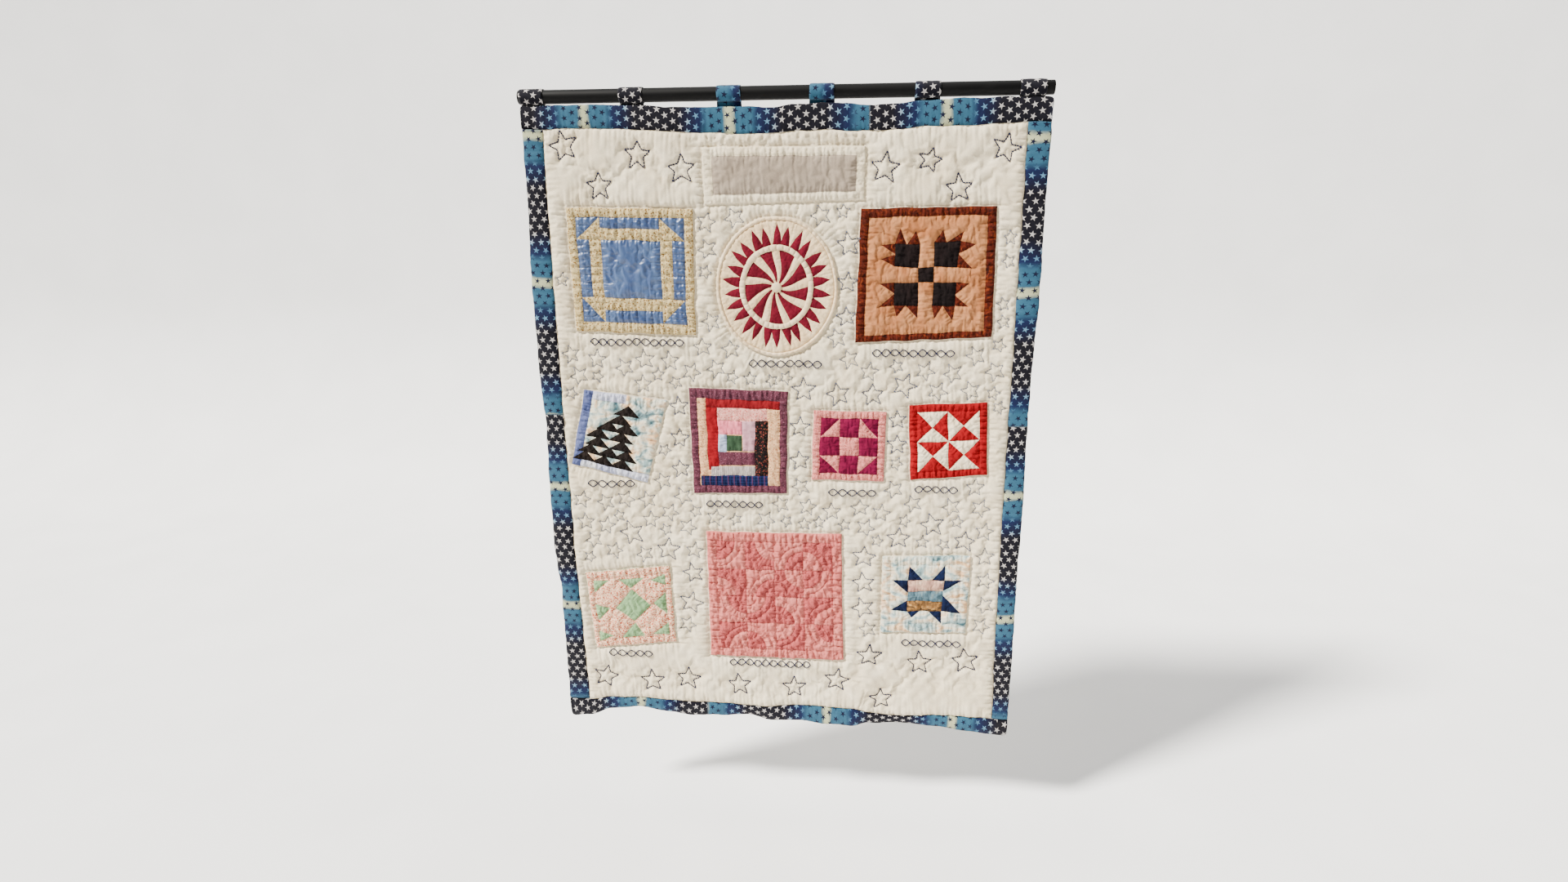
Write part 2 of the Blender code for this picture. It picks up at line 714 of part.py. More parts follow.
def strip(name, inner_line, outer_line, colour):
    """A padded strip between two edge lines, lofted through its cross sections."""
    verts = []
    faces = []
    for inner, outer in zip(inner_line, outer_line):
        for share, depth in BORDER_PROFILE:
            x = inner[0] + (outer[0] - inner[0]) * share
            z = inner[1] + (outer[1] - inner[1]) * share
            verts.append(place(x, z, depth))
    size = len(BORDER_PROFILE)
    rows = len(inner_line)
    for row in range(rows - 1):
        for i in range(size):
            j = (i + 1) % size
            a = row * size
            b = a + size
            faces.append([a + i, a + j, b + j, b + i])
    faces.append(list(range(size)))
    faces.append([(rows - 1) * size + i for i in reversed(range(size))])
    return mesh_object(name, verts, faces, finish(name, colour, 0.85))


def corner_inset(aside):
    """How far a rounded corner draws the long edge in, at a distance from the strip's end."""
    if aside >= CORNER_ROUND:
        return 0.0
    return CORNER_ROUND - math.sqrt(CORNER_ROUND ** 2 - (CORNER_ROUND - aside) ** 2)


def build_borders():
    top, right, low, left = field_outline()
    ends = (0.0, 0.0025, CORNER_ROUND)

    def long_strip(name, field_side, inner_at, outer_at, sign, z_end):
        x_left = outer_left(z_end)
        x_right = outer_right(z_end)
        seam_left = field_side[0][0]
        seam_right = field_side[-1][0]
        xs = [x_left + end for end in ends] + [(seam_left + x_left + CORNER_ROUND) / 2]
        xs += [x for x, _ in field_side]
        xs += [(seam_right + x_right - CORNER_ROUND) / 2] + [x_right - end for end in reversed(ends)]
        inner_line = []
        outer_line = []
        for x in xs:
            inset = corner_inset(min(x - x_left, x_right - x))
            level = inner_at(min(max(x, seam_left), seam_right))
            inner_line.append((x, level + sign * GAP))
            outer_line.append((x, outer_at(x) - sign * inset))
        strip(name, inner_line, outer_line, (0.02, 0.03, 0.08))

    long_strip("border_top", top, inner_top, outer_top, 1.0, TOP_STRIP_LEVEL)
    long_strip("border_bottom", low, inner_bottom, outer_bottom, -1.0, LOW_STRIP_LEVEL)

    def side_strip(name, field_side, outer_at, sign):
        inner_line = [(x + sign * GAP, z) for x, z in field_side]
        outer_line = [(outer_at(z), z) for _, z in field_side]
        strip(name, inner_line, outer_line, (0.02, 0.04, 0.10))

    side_strip("border_left", left, outer_left, -1.0)
    side_strip("border_right", right, outer_right, 1.0)


# The blocks

def between(block, u, v):
    """A point inside a block's four corners, v running downwards."""
    top = Vector(block.top_left).lerp(Vector(block.top_right), u)
    low = Vector(block.low_left).lerp(Vector(block.low_right), u)
    return top.lerp(low, v)


def cut_lines(seams, length):
    """Seam places and the shoulders or middle of each patch between them, as shares of a length."""
    edges = [0.0, *seams, 1.0]
    shoulder = PANEL_SHOULDER / length
    lines = [(0.0, True)]
    for low, high in zip(edges, edges[1:]):
        if high - low > 4.2 * shoulder:
            lines.append((low + shoulder, False))
            lines.append((high - shoulder, False))
        else:
            lines.append(((low + high) / 2, False))
        lines.append((high, True))
    return lines


def build_block(block):
    """A padded panel whose patches rise between its seams."""
    across = cut_lines(block.across, (Vector(block.top_right) - Vector(block.top_left)).length)
    down = cut_lines(block.down, (Vector(block.low_left) - Vector(block.top_left)).length)
    columns = len(across)
    verts = []
    faces = []
    for v, seam_v in down:
        for u, seam_u in across:
            spot = between(block, u, v)
            if u in (0.0, 1.0) or v in (0.0, 1.0):
                height = PANEL_EDGE
            elif seam_u or seam_v:
                height = PANEL_SEAM
            else:
                height = PANEL_PUFF
            verts.append(place(spot.x, spot.y, height))
    for row in range(len(down) - 1):
        for column in range(columns - 1):
            a = row * columns + column
            faces.append([a, a + columns, a + columns + 1, a + 1])
    rim = [i for i in range(columns)]
    rim += [row * columns + columns - 1 for row in range(1, len(down))]
    rim += [(len(down) - 1) * columns + i for i in reversed(range(columns - 1))]
    rim += [row * columns for row in reversed(range(1, len(down) - 1))]
    back = []
    for i in rim:
        back.append(len(verts))
        verts.append(Vector((verts[i].x, FRONT_PLANE, verts[i].z)))
    for i in range(len(rim)):
        j = (i + 1) % len(rim)
        faces.append([rim[i], rim[j], back[j], back[i]])
    faces.append(list(reversed(back)))
    return mesh_object(block.name, verts, faces, finish(block.name, block.colour, 0.85))


def ring_solid(name, rings, look, centre_depth=None):
    """A solid from loops of equal length, joined in turn; closed at the centre when it is full."""
    verts = []
    faces = []
    for ring, depth in rings:
        verts.extend(place(x, z, depth) for x, z in ring)
    steps = WHEEL_STEPS
    count = len(rings)
    last = count if centre_depth is None else count - 1
    for k in range(last):
        a = k * steps
        b = ((k + 1) % count) * steps
        for i in range(steps):
            j = (i + 1) % steps
            faces.append([a + i, a + j, b + j, b + i])
    if centre_depth is not None:
        tip = len(verts)
        verts.append(place(WHEEL_X, WHEEL_Z, centre_depth))
        for i in range(steps):
            faces.append([tip, i, (i + 1) % steps])
        faces.append([(count - 1) * steps + i for i in range(steps)])
    return mesh_object(name, verts, faces, look)


def build_wheel():
    rings = [(wheel_oval(share), depth) for share, depth in zip(WHEEL_SHARES, WHEEL_HEIGHTS)]
    rings.append((wheel_oval(1.0), 0.0))
    ring_solid("block_wheel", rings, finish("block_wheel", (0.50, 0.25, 0.20), 0.85), WHEEL_HEIGHTS[0])

    seat = WHEEL_HEIGHTS[2] + GAP
    low, high = RING_BAND
    middle = (low + high) / 2
    ring = [(wheel_oval(low), seat), (wheel_oval(low), seat + RING_HEIGHT * 0.6),
            (wheel_oval(middle), seat + RING_HEIGHT), (wheel_oval(high), seat + RING_HEIGHT * 0.6),
            (wheel_oval(high), seat)]
    ring_solid("wheel_ring", ring, finish("wheel_ring", (0.75, 0.68, 0.55), 0.85))

    rim = [(wheel_oval(1.0, GAP), 0.0), (wheel_oval(1.0, GAP), RIM_HEIGHT * 0.6),
           (wheel_oval(1.0, RIM_WIDTH / 2), RIM_HEIGHT), (wheel_oval(1.0, RIM_WIDTH), RIM_HEIGHT * 0.5),
           (wheel_oval(1.0, RIM_WIDTH), 0.0)]
    ring_solid("wheel_rim", rim, finish("wheel_rim", (0.70, 0.60, 0.42), 0.85))


def build_hub():
    """The covered button: a turned dome whose axis points at the viewer."""
    profile = [(HUB_RADIUS * 0.96, 0.0), (HUB_RADIUS, HUB_HEIGHT * 0.35),
               (HUB_RADIUS * 0.84, HUB_HEIGHT * 0.75), (HUB_RADIUS * 0.46, HUB_HEIGHT * 0.96),
               (0.0, HUB_HEIGHT)]
    profile.insert(0, (0.0, 0.0))
    profile.reverse()
    mesh = bpy.data.meshes.new("wheel_hub")
    verts = [(radius, 0.0, height) for radius, height in profile]
    mesh.from_pydata(verts, [(i, i + 1) for i in range(len(verts) - 1)], [])
    hub = bpy.data.objects.new("wheel_hub", mesh)
    bpy.context.scene.collection.objects.link(hub)
    turn = hub.modifiers.new("turn", "SCREW")
    turn.axis = "Z"
    turn.steps = 24
    turn.render_steps = 24
    turn.use_merge_vertices = True
    turn.merge_threshold = 0.00001
    turn.use_smooth_shade = True
    hub.rotation_euler = (math.pi / 2, 0.0, 0.0)
    hub.location = (WHEEL_X, FRONT_PLANE - WHEEL_HEIGHTS[0] - GAP, WHEEL_Z)
    keep(hub, finish("wheel_hub", (0.80, 0.73, 0.60), 0.8))


def main():
    clear_scene()
    build_rod()
    build_tabs()
    build_ground()
    build_borders()
    for block in BLOCKS:
        build_block(block)
    build_wheel()
    build_hub()


main()
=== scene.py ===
"""Looks of the patchwork wall quilt on its rod: sewn cloth, prints, thread, light and camera."""

import math
from collections import namedtuple

import bmesh
import bpy
import numpy as np
from mathutils import Matrix, Vector
from mathutils.bvhtree import BVHTree
from mathutils.geometry import delaunay_2d_cdt
from mathutils.kdtree import KDTree


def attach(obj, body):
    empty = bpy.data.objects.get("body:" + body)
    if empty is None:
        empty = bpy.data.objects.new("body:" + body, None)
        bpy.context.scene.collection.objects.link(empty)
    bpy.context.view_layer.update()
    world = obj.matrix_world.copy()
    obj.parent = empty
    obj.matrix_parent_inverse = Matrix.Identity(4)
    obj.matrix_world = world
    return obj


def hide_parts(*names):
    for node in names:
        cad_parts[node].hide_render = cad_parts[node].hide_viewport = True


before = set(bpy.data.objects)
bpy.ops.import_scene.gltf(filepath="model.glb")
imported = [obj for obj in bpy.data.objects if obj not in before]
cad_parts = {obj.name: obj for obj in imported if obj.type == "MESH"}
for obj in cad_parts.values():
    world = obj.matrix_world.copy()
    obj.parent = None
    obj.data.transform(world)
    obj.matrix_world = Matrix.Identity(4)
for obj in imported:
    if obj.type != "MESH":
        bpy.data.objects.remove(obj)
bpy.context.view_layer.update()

# Driving dimensions, as in the solids
ROD_RADIUS = 0.016
ROD_HALF_LENGTH = 0.625
TAB_WIDTH = 0.057
TAB_CLOTH = 0.0022
TAB_TAIL = 0.046
TAB_X = (-0.591, -0.350, -0.117, 0.100, 0.342, 0.577)
GAP = 0.0003
THICKNESS = 0.008
FRONT_PLANE = -(TAB_CLOTH + GAP + THICKNESS + 0.0001)
CORNER_ROUND = 0.009
VALLEY_REACH = 0.004

FieldRow = namedtuple("FieldRow", "z outer_left inner_left inner_right outer_right")
SIDE_EDGES = [FieldRow(*row) for row in (
    (-0.019, -0.6205, -0.5690, 0.5700, 0.6230), (-0.250, -0.6220, -0.5710, 0.5710, 0.6225),
    (-0.430, -0.6285, -0.5730, 0.5710, 0.6235), (-0.700, -0.6280, -0.5730, 0.5715, 0.6200),
    (-0.790, -0.6225, -0.5730, 0.5715, 0.6195), (-1.000, -0.6280, -0.5725, 0.5720, 0.6230),
    (-1.150, -0.6290, -0.5710, 0.5730, 0.6215), (-1.280, -0.6185, -0.5680, 0.5750, 0.6230),
    (-1.450, -0.6200, -0.5650, 0.5780, 0.6240), (-1.600, -0.6200, -0.5625, 0.5815, 0.6245),
    (-1.680, -0.6185, -0.5620, 0.5820, 0.6245),
)]
TopRow = namedtuple("TopRow", "x outer inner")
TOP_EDGES = [TopRow(*row) for row in (
    (-0.630, -0.0190, -0.0738), (-0.566, -0.0190, -0.0732), (-0.460, -0.0194, -0.0720),
    (-0.350, -0.0222, -0.0766), (-0.217, -0.0295, -0.0842), (-0.117, -0.0292, -0.0888),
    (-0.030, -0.0316, -0.0898), (0.055, -0.0262, -0.0850), (0.100, -0.0238, -0.0842),
    (0.210, -0.0302, -0.0876), (0.280, -0.0288, -0.0850), (0.342, -0.0228, -0.0786),
    (0.430, -0.0200, -0.0798), (0.530, -0.0190, -0.0753), (0.630, -0.0190, -0.0700),
)]
BottomRow = namedtuple("BottomRow", "x inner outer")
BOTTOM_EDGES = [BottomRow(*row) for row in (
    (-0.630, -1.6250, -1.6790), (-0.562, -1.6215, -1.6710), (-0.500, -1.6130, -1.6495),
    (-0.411, -1.6095, -1.6400), (-0.330, -1.6120, -1.6500), (-0.259, -1.6155, -1.6575),
    (-0.180, -1.6155, -1.6555), (-0.098, -1.6190, -1.6480), (-0.040, -1.6210, -1.6600),
    (0.030, -1.6105, -1.6590), (0.120, -1.6125, -1.6675), (0.194, -1.6140, -1.6670),
    (0.240, -1.6240, -1.6570), (0.330, -1.6300, -1.6515), (0.435, -1.6225, -1.6580),
    (0.524, -1.6225, -1.6670), (0.630, -1.6310, -1.6780),
)]

# Soft folds of the hung cloth, each along a line, rising or sinking by its height
Fold = namedtuple("Fold", "x_top z_top x_low z_low half_width height")
FOLDS = [Fold(*row) for row in (
    (0.262, -0.090, 0.222, -0.230, 0.016, 0.0035), (0.322, -0.085, 0.262, -0.215, 0.016, 0.0025),
    (0.233, -1.130, 0.236, -1.640, 0.018, 0.0040), (-0.272, -0.080, -0.262, -0.250, 0.014, 0.0020),
    (0.590, -0.250, 0.596, -0.640, 0.030, 0.0030), (-0.598, -0.420, -0.600, -0.900, 0.030, 0.0030),
    (-0.594, -1.080, -0.592, -1.380, 0.030, 0.0035), (0.598, -0.900, 0.600, -1.300, 0.030, 0.0030),
)]
HEM_WAVE_HEIGHT = 0.0055
HEM_WAVE_REACH = 0.150
HEM_LINE = -1.680
HEM_WAVES = ((-0.56, 0.10), (-0.32, 0.12), (-0.02, 0.10), (0.19, 0.11), (0.53, 0.12))

# Blocks: corners clockwise from the top left
Block = namedtuple("Block", "name top_left top_right low_right low_left")
BLOCKS = [Block(*row) for row in (
    ("label_panel", (-0.184, -0.1180), (0.204, -0.1210), (0.203, -0.2400), (-0.181, -0.2480)),
    ("block_churn_dash", (-0.527, -0.2530), (-0.211, -0.2590), (-0.214, -0.5650), (-0.521, -0.5560)),
    ("block_paw", (0.194, -0.2610), (0.512, -0.2570), (0.518, -0.5640), (0.186, -0.5800)),
    ("block_geese", (-0.511, -0.7080), (-0.296, -0.7340), (-0.358, -0.9580), (-0.561, -0.9090)),
    ("block_cabin", (-0.237, -0.6990), (0.018, -0.7060), (0.014, -0.9780), (-0.232, -0.9840)),
    ("block_shoofly", (0.084, -0.7540), (0.268, -0.7560), (0.266, -0.9400), (0.080, -0.9390)),
    ("block_bow_tie", (0.324, -0.7370), (0.517, -0.7280), (0.527, -0.9160), (0.334, -0.9340)),
    ("block_britches", (-0.546, -1.2250), (-0.309, -1.1960), (-0.298, -1.4250), (-0.529, -1.4530)),
    ("block_curves", (-0.203, -1.0930), (0.158, -1.0890), (0.169, -1.4620), (-0.201, -1.4630)),
    ("block_star", (0.269, -1.1490), (0.498, -1.1400), (0.496, -1.3650), (0.268, -1.3710)),
)]

WHEEL_X = -0.008
WHEEL_Z = -0.4455
WHEEL_HALF_WIDTH = 0.142
WHEEL_HALF_HEIGHT = 0.161
RING_BAND = (0.545, 0.645)
RIM_WIDTH = 0.0075
HUB_RADIUS = 0.0125
HUB_HEIGHT = 0.0065

# Quilted stars: centre, reach of a point and tilt in degrees
Star = namedtuple("Star", "x z reach tilt")
DARK_STARS = [Star(*row) for row in (
    (-0.521, -0.1120, 0.036, 12), (-0.341, -0.1340, 0.034, -4), (-0.439, -0.2050, 0.035, 2),
    (-0.236, -0.1670, 0.035, 3), (0.249, -0.1690, 0.036, -6), (0.352, -0.1530, 0.030, -16),
    (0.422, -0.2160, 0.033, 4), (0.524, -0.1290, 0.034, -14), (-0.508, -1.5450, 0.036, -14),
    (-0.373, -1.5530, 0.036, 4), (-0.269, -1.5410, 0.035, -6), (-0.123, -1.5540, 0.034, 2),
    (0.032, -1.5540, 0.034, 0), (0.151, -1.5270, 0.036, -6), (0.274, -1.5780, 0.033, 6),
    (0.239, -1.4450, 0.034, -2), (0.376, -1.4620, 0.035, 2), (0.499, -1.4500, 0.038, 8),
)]
GREY_STARS = [Star(*row) for row in (
    (0.167, -0.3430, 0.031, 6), (0.166, -0.4330, 0.026, -4), (0.164, -0.5170, 0.026, 6),
    (0.058, -0.7020, 0.032, 2), (0.146, -0.7130, 0.032, 14), (0.233, -0.7130, 0.030, 4),
    (0.311, -0.6880, 0.032, -20), (0.048, -0.8000, 0.028, -4), (0.048, -0.8900, 0.028, 6),
    (0.296, -0.7760, 0.024, 4), (0.297, -0.8420, 0.027, 0), (-0.265, -0.7500, 0.027, 6),
    (-0.266, -0.8340, 0.028, -6), (-0.266, -0.9180, 0.026, 4), (-0.408, -1.1030, 0.036, 16),
    (-0.310, -1.1480, 0.034, -4), (-0.243, -1.2160, 0.030, 12), (-0.252, -1.3050, 0.034, -12),
    (0.219, -1.1530, 0.032, -2), (0.219, -1.2280, 0.031, 8), (0.219, -1.3020, 0.031, 20),
    (0.309, -1.0980, 0.031, 0), (0.394, -1.0580, 0.033, 12), (0.479, -1.1020, 0.029, -6),
)]
STAR_WAIST = 0.44

# Places below the blocks that have no quilting, only a stitched braid: centre and half sizes
BareSpot = namedtuple("BareSpot", "x z half_width half_height")
BARE_SPOTS = [BareSpot(*row) for row in (
    (-0.365, -0.583, 0.145, 0.022), (0.012, -0.634, 0.110, 0.022), (0.330, -0.605, 0.120, 0.020),
    (-0.455, -0.962, 0.075, 0.022), (-0.125, -1.012, 0.090, 0.020), (0.185, -0.972, 0.075, 0.020),
    (0.400, -0.958, 0.065, 0.020), (-0.430, -1.465, 0.075, 0.020), (-0.036, -1.480, 0.135, 0.018),
    (0.405, -1.398, 0.095, 0.018), (0.460, -1.535, 0.110, 0.040),
)]
# The filling stars' grid and how unevenly they lie, then what they keep clear of
FILL_PITCH = 0.064
FILL_STEP = FILL_PITCH / 4
FILL_JITTER = 0.006
FILL_TILT = 25.0
FILL_TOP = -0.270
FILL_LOW = -1.405
FILL_HALF_WIDTH = 0.60
STAR_TO_BORDER = 0.006
STAR_TO_BLOCK = 0.002
SPOT_OVERLAP = 0.8
# Larger ones first, then small ones: reach, least distance of middles, least gap between points
FILL_PASSES = ((0.0255, 0.057, 0.004), (0.0180, 0.0, 0.001))


# The hung cloth's plane and its soft relief

def smooth_rows(rows, key, field):
    """A smooth curve through one column of a table, for numbers or arrays."""
    xs = np.array([getattr(row, key) for row in rows])
    ys = np.array([getattr(row, field) for row in rows])
    if xs[0] > xs[-1]:
        xs = xs[::-1]
        ys = ys[::-1]

    def at(x):
        i = np.clip(np.searchsorted(xs, x) - 1, 0, len(xs) - 2)
        t = np.clip((x - xs[i]) / (xs[i + 1] - xs[i]), 0.0, 1.0)
        return ys[i] + (ys[i + 1] - ys[i]) * t * t * (3.0 - 2.0 * t)

    return at


outer_left, inner_left, inner_right, outer_right = (
    smooth_rows(SIDE_EDGES, "z", field) for field in FieldRow._fields[1:])
outer_top, inner_top = (smooth_rows(TOP_EDGES, "x", field) for field in TopRow._fields[1:])
inner_bottom, outer_bottom = (smooth_rows(BOTTOM_EDGES, "x", field) for field in BottomRow._fields[1:])


def relief(x, z):
    """How far the hung cloth stands towards the viewer from its flat plane."""
    height = np.zeros_like(x)
    for fold in FOLDS:
        along = np.array((fold.x_low - fold.x_top, fold.z_low - fold.z_top))
        length = np.hypot(*along)
        share = ((x - fold.x_top) * along[0] + (z - fold.z_top) * along[1]) / length ** 2
        aside = np.abs((x - fold.x_top) * along[1] - (z - fold.z_top) * along[0]) / length
        aside = np.clip(aside / fold.half_width, 0.0, 2.0)
        inside = np.clip(share, 0.0, 1.0)
        height += fold.height * (0.5 + 0.5 * np.cos(aside * np.pi / 2)) * np.sin(inside * np.pi) ** 0.5
    low = np.clip((z - HEM_LINE) / HEM_WAVE_REACH, 0.0, 1.0)
    for centre, half in HEM_WAVES:
        aside = np.clip(np.abs(x - centre) / half, 0.0, 1.0)
        height += HEM_WAVE_HEIGHT * (1.0 - low) ** 2 * (0.5 + 0.5 * np.cos(np.pi * aside))
    return height


def ripple(x, z, pitch, seed):
    """Smooth uneven waves between about -1 and 1, near the given pitch in metres."""
    rng = np.random.RandomState(seed)
    total = np.zeros_like(x)
    for _ in range(7):
        angle = rng.uniform(0.0, np.pi)
        stretch = rng.uniform(0.7, 1.5)
        turn = 2 * np.pi / (pitch * stretch)
        bend = 0.6 * np.sin(turn * 0.43 * (x * math.sin(angle) - z * math.cos(angle)) + rng.uniform(0, 6.3))
        total += np.sin(turn * (x * math.cos(angle) + z * math.sin(angle)) + bend + rng.uniform(0, 6.3))
    return total / 3.2


DRIFT = 0.0011


def place(x, z, depth):
    """Points of the cloth at x, z and a depth in front of the quilt's front plane."""
    x = np.asarray(x, float)
    z = np.asarray(z, float)
    dx = DRIFT * ripple(x, z, 0.075, 3)
    dz = DRIFT * ripple(x, z, 0.080, 4)
    return np.stack([x + dx, FRONT_PLANE - depth - relief(x, z), z + dz], axis=-1)


# Flat outlines and sewn lines

def corners_of(block):
    return list(block[1:])


def on_block(block, shares):
    """Points at shares across and down a block."""
    shares = np.asarray(shares, float)
    u = shares[..., 0:1]
    v = shares[..., 1:2]
    a, b, c, d = (np.array(corner) for corner in corners_of(block))
    return (a * (1 - u) + b * u) * (1 - v) + (d * (1 - u) + c * u) * v


def grown(corners, reach):
    """A four-sided outline's corners moved outwards from its middle."""
    middle = np.mean(np.array(corners), axis=0)
    return [tuple(np.array(corner) + np.sign(np.array(corner) - middle) * reach) for corner in corners]


def arc_along(points):
    """How far along a line each of its points is."""
    return np.concatenate([[0.0], np.cumsum(np.hypot(*np.diff(points, axis=0).T))])


def walk(line, pitch, closed=True):
    """Points along a line, at most a pitch apart, with its corners kept."""
    points = []
    ends = list(line[1:]) + ([line[0]] if closed else [])
    for a, b in zip(line, ends):
        a = np.array(a)
        b = np.array(b)
        count = max(1, int(math.ceil(np.hypot(*(b - a)) / pitch)))
        for i in range(count):
            points.append(a + (b - a) * i / count)
    if not closed:
        points.append(np.array(line[-1]))
    return np.array(points)


def walked(lines, pitch):
    return [walk(line, pitch, closed=False) for line in lines]


def oval(share, extra=0.0, steps=180):
    """The wheel's outline at a share of its size, with some metres added."""
    angle = np.arange(steps) * 2 * np.pi / steps
    return np.stack([WHEEL_X + (WHEEL_HALF_WIDTH * share + extra) * np.cos(angle),
                     WHEEL_Z + (WHEEL_HALF_HEIGHT * share + extra) * np.sin(angle)], axis=1)


def inside_many(points, polygon):
    """Which points lie inside a polygon."""
    x = points[:, 0]
    z = points[:, 1]
    hit = np.zeros(len(points), bool)
    corners = [tuple(corner) for corner in polygon]
    for (x1, z1), (x2, z2) in zip(corners, corners[1:] + corners[:1]):
        if z1 != z2:
            hit ^= ((z1 > z) != (z2 > z)) & (x < x1 + (z - z1) * (x2 - x1) / (z2 - z1))
    return hit


def under_blocks(points, reach):
    """Which points lie under a block or the wheel, grown by a reach."""
    hit = np.zeros(len(points), bool)
    for block in BLOCKS:
        hit |= inside_many(points, grown(corners_of(block), reach))
    extra = RIM_WIDTH + reach
    x = (points[:, 0] - WHEEL_X) / (WHEEL_HALF_WIDTH + extra)
    z = (points[:, 1] - WHEEL_Z) / (WHEEL_HALF_HEIGHT + extra)
    return hit | (x * x + z * z < 1.0)


def point_tree(points):
    tree = KDTree(len(points))
    for i, (x, z) in enumerate(points):
        tree.insert((x, z, 0.0), i)
    tree.balance()
    return tree


SAMPLE_PITCH = 0.0012
ARC_BETWEEN = 0.37


def near_lines(points, lines, closed=True):
    """How far each point is from the nearest sewn line, and how far along the lines that is."""
    samples = []
    arcs = []
    run = 0.0
    for line in lines:
        spots = walk(line, SAMPLE_PITCH, closed)
        arc = arc_along(spots) + run
        run = arc[-1] + ARC_BETWEEN
        samples.extend(spots)
        arcs.extend(arc)
    tree = point_tree(samples)
    found = [tree.find((x, z, 0.0)) for x, z in points]
    return np.array([hit[2] for hit in found]), np.array(arcs)[[hit[1] for hit in found]]


def puckers(distance, arc, height, pitch, reach):
    """Small folds that run away from a sewn line."""
    turn = 2 * np.pi / pitch
    wave = np.sin(turn * arc + 1.7 * np.sin(turn * 0.31 * arc) + 0.9 * np.sin(turn * 0.77 * arc))
    return height * wave * np.exp(-distance / reach) * (1.0 - np.exp(-distance / 0.002))


# How a sewn line shapes the cloth: how deep and wide its valley is, then its puckers
Seam = namedtuple("Seam", "drop width height pitch reach")


def drawn_in(depth, flat, lines, seam):
    """Depths with a valley along open sewn lines and the puckers beside it."""
    far, arc = near_lines(flat, lines, closed=False)
    depth = depth - seam.drop * np.exp(-far / seam.width)
    return depth + puckers(far, arc, seam.height, seam.pitch, seam.reach)


def star_outline(star, wobble=0.05):
    """The ten corners of a hand-quilted five-pointed star, point up before its tilt."""
    corners = []
    for i in range(10):
        reach = star.reach if i % 2 == 0 else star.reach * STAR_WAIST
        reach *= 1.0 + wobble * math.sin(91.0 * star.x + 57.0 * star.z + 2.3 * i)
        angle = math.radians(90.0 + star.tilt) + i * math.pi / 5
        angle += wobble * math.sin(67.0 * star.x - 83.0 * star.z + 1.7 * i)
        corners.append((star.x + reach * math.cos(angle), star.z + reach * math.sin(angle)))
    return corners


def star_fits(star, placed, outlines, spacing, gap):
    """Whether a filling star keeps clear of the border, other stars, bare places and blocks."""
    if star.x - star.reach < inner_left(star.z) + STAR_TO_BORDER:
        return False
    if star.x + star.reach > inner_right(star.z) - STAR_TO_BORDER:
        return False
    for other in placed:
        near = max(spacing, star.reach + other.reach + gap)
        if math.hypot(star.x - other.x, star.z - other.z) < near:
            return False
    for spot in BARE_SPOTS:
        aside = abs(star.x - spot.x) < spot.half_width + star.reach * SPOT_OVERLAP
        level = abs(star.z - spot.z) < spot.half_height + star.reach * SPOT_OVERLAP
        if aside and level:
            return False
    for line in outlines:
        if np.min(np.hypot(line[:, 0] - star.x, line[:, 1] - star.z)) < star.reach + STAR_TO_BLOCK:
            return False
    return not under_blocks(np.array([[star.x, star.z]]), VALLEY_REACH)[0]


def filling_stars(outlines):
    """Stars quilted over what the blocks leave free, with smaller ones in the gaps between them."""
    placed = list(DARK_STARS + GREY_STARS)
    fillers = []
    for reach, spacing, gap in FILL_PASSES:
        row = 0
        z = FILL_TOP
        while z > FILL_LOW:
            x = -FILL_HALF_WIDTH + (FILL_PITCH / 2 if row % 2 else 0.0)
            while x < FILL_HALF_WIDTH:
                shift = FILL_JITTER * math.sin(31.0 * x + 17.0 * z)
                lift = FILL_JITTER * math.sin(47.0 * x - 23.0 * z)
                tilt = FILL_TILT * math.sin(53.0 * x + 41.0 * z)
                spot = Star(x + shift, z + lift, reach, tilt)
                if star_fits(spot, placed, outlines, spacing, gap):
                    placed.append(spot)
                    fillers.append(spot)
                x += FILL_STEP
            z -= FILL_STEP
            row += 1
    return fillers


# Cloth meshes

HEX_ROW = 0.866


def hex_points(outline, pitch, jitter, seed):
    """Evenly spread, slightly uneven points inside an outline."""
    low = outline.min(axis=0)
    high = outline.max(axis=0)
    rng = np.random.RandomState(seed)
    rows = np.arange(low[1], high[1], pitch * HEX_ROW)
    grid_x, grid_z = np.meshgrid(np.arange(low[0], high[0], pitch), rows)
    grid_x = grid_x.copy()
    grid_x[1::2] += pitch / 2
    points = np.stack([grid_x.ravel(), grid_z.ravel()], axis=1)
    points += rng.uniform(-jitter, jitter, points.shape)
    return points[inside_many(points, outline)]


def away_from(points, lines, reach):
    """The points that are further than a reach from every point of the lines."""
    tree = point_tree(np.concatenate(lines))
    far = [tree.find((x, z, 0.0))[2] > reach for x, z in points]
    return points[np.array(far, bool)]


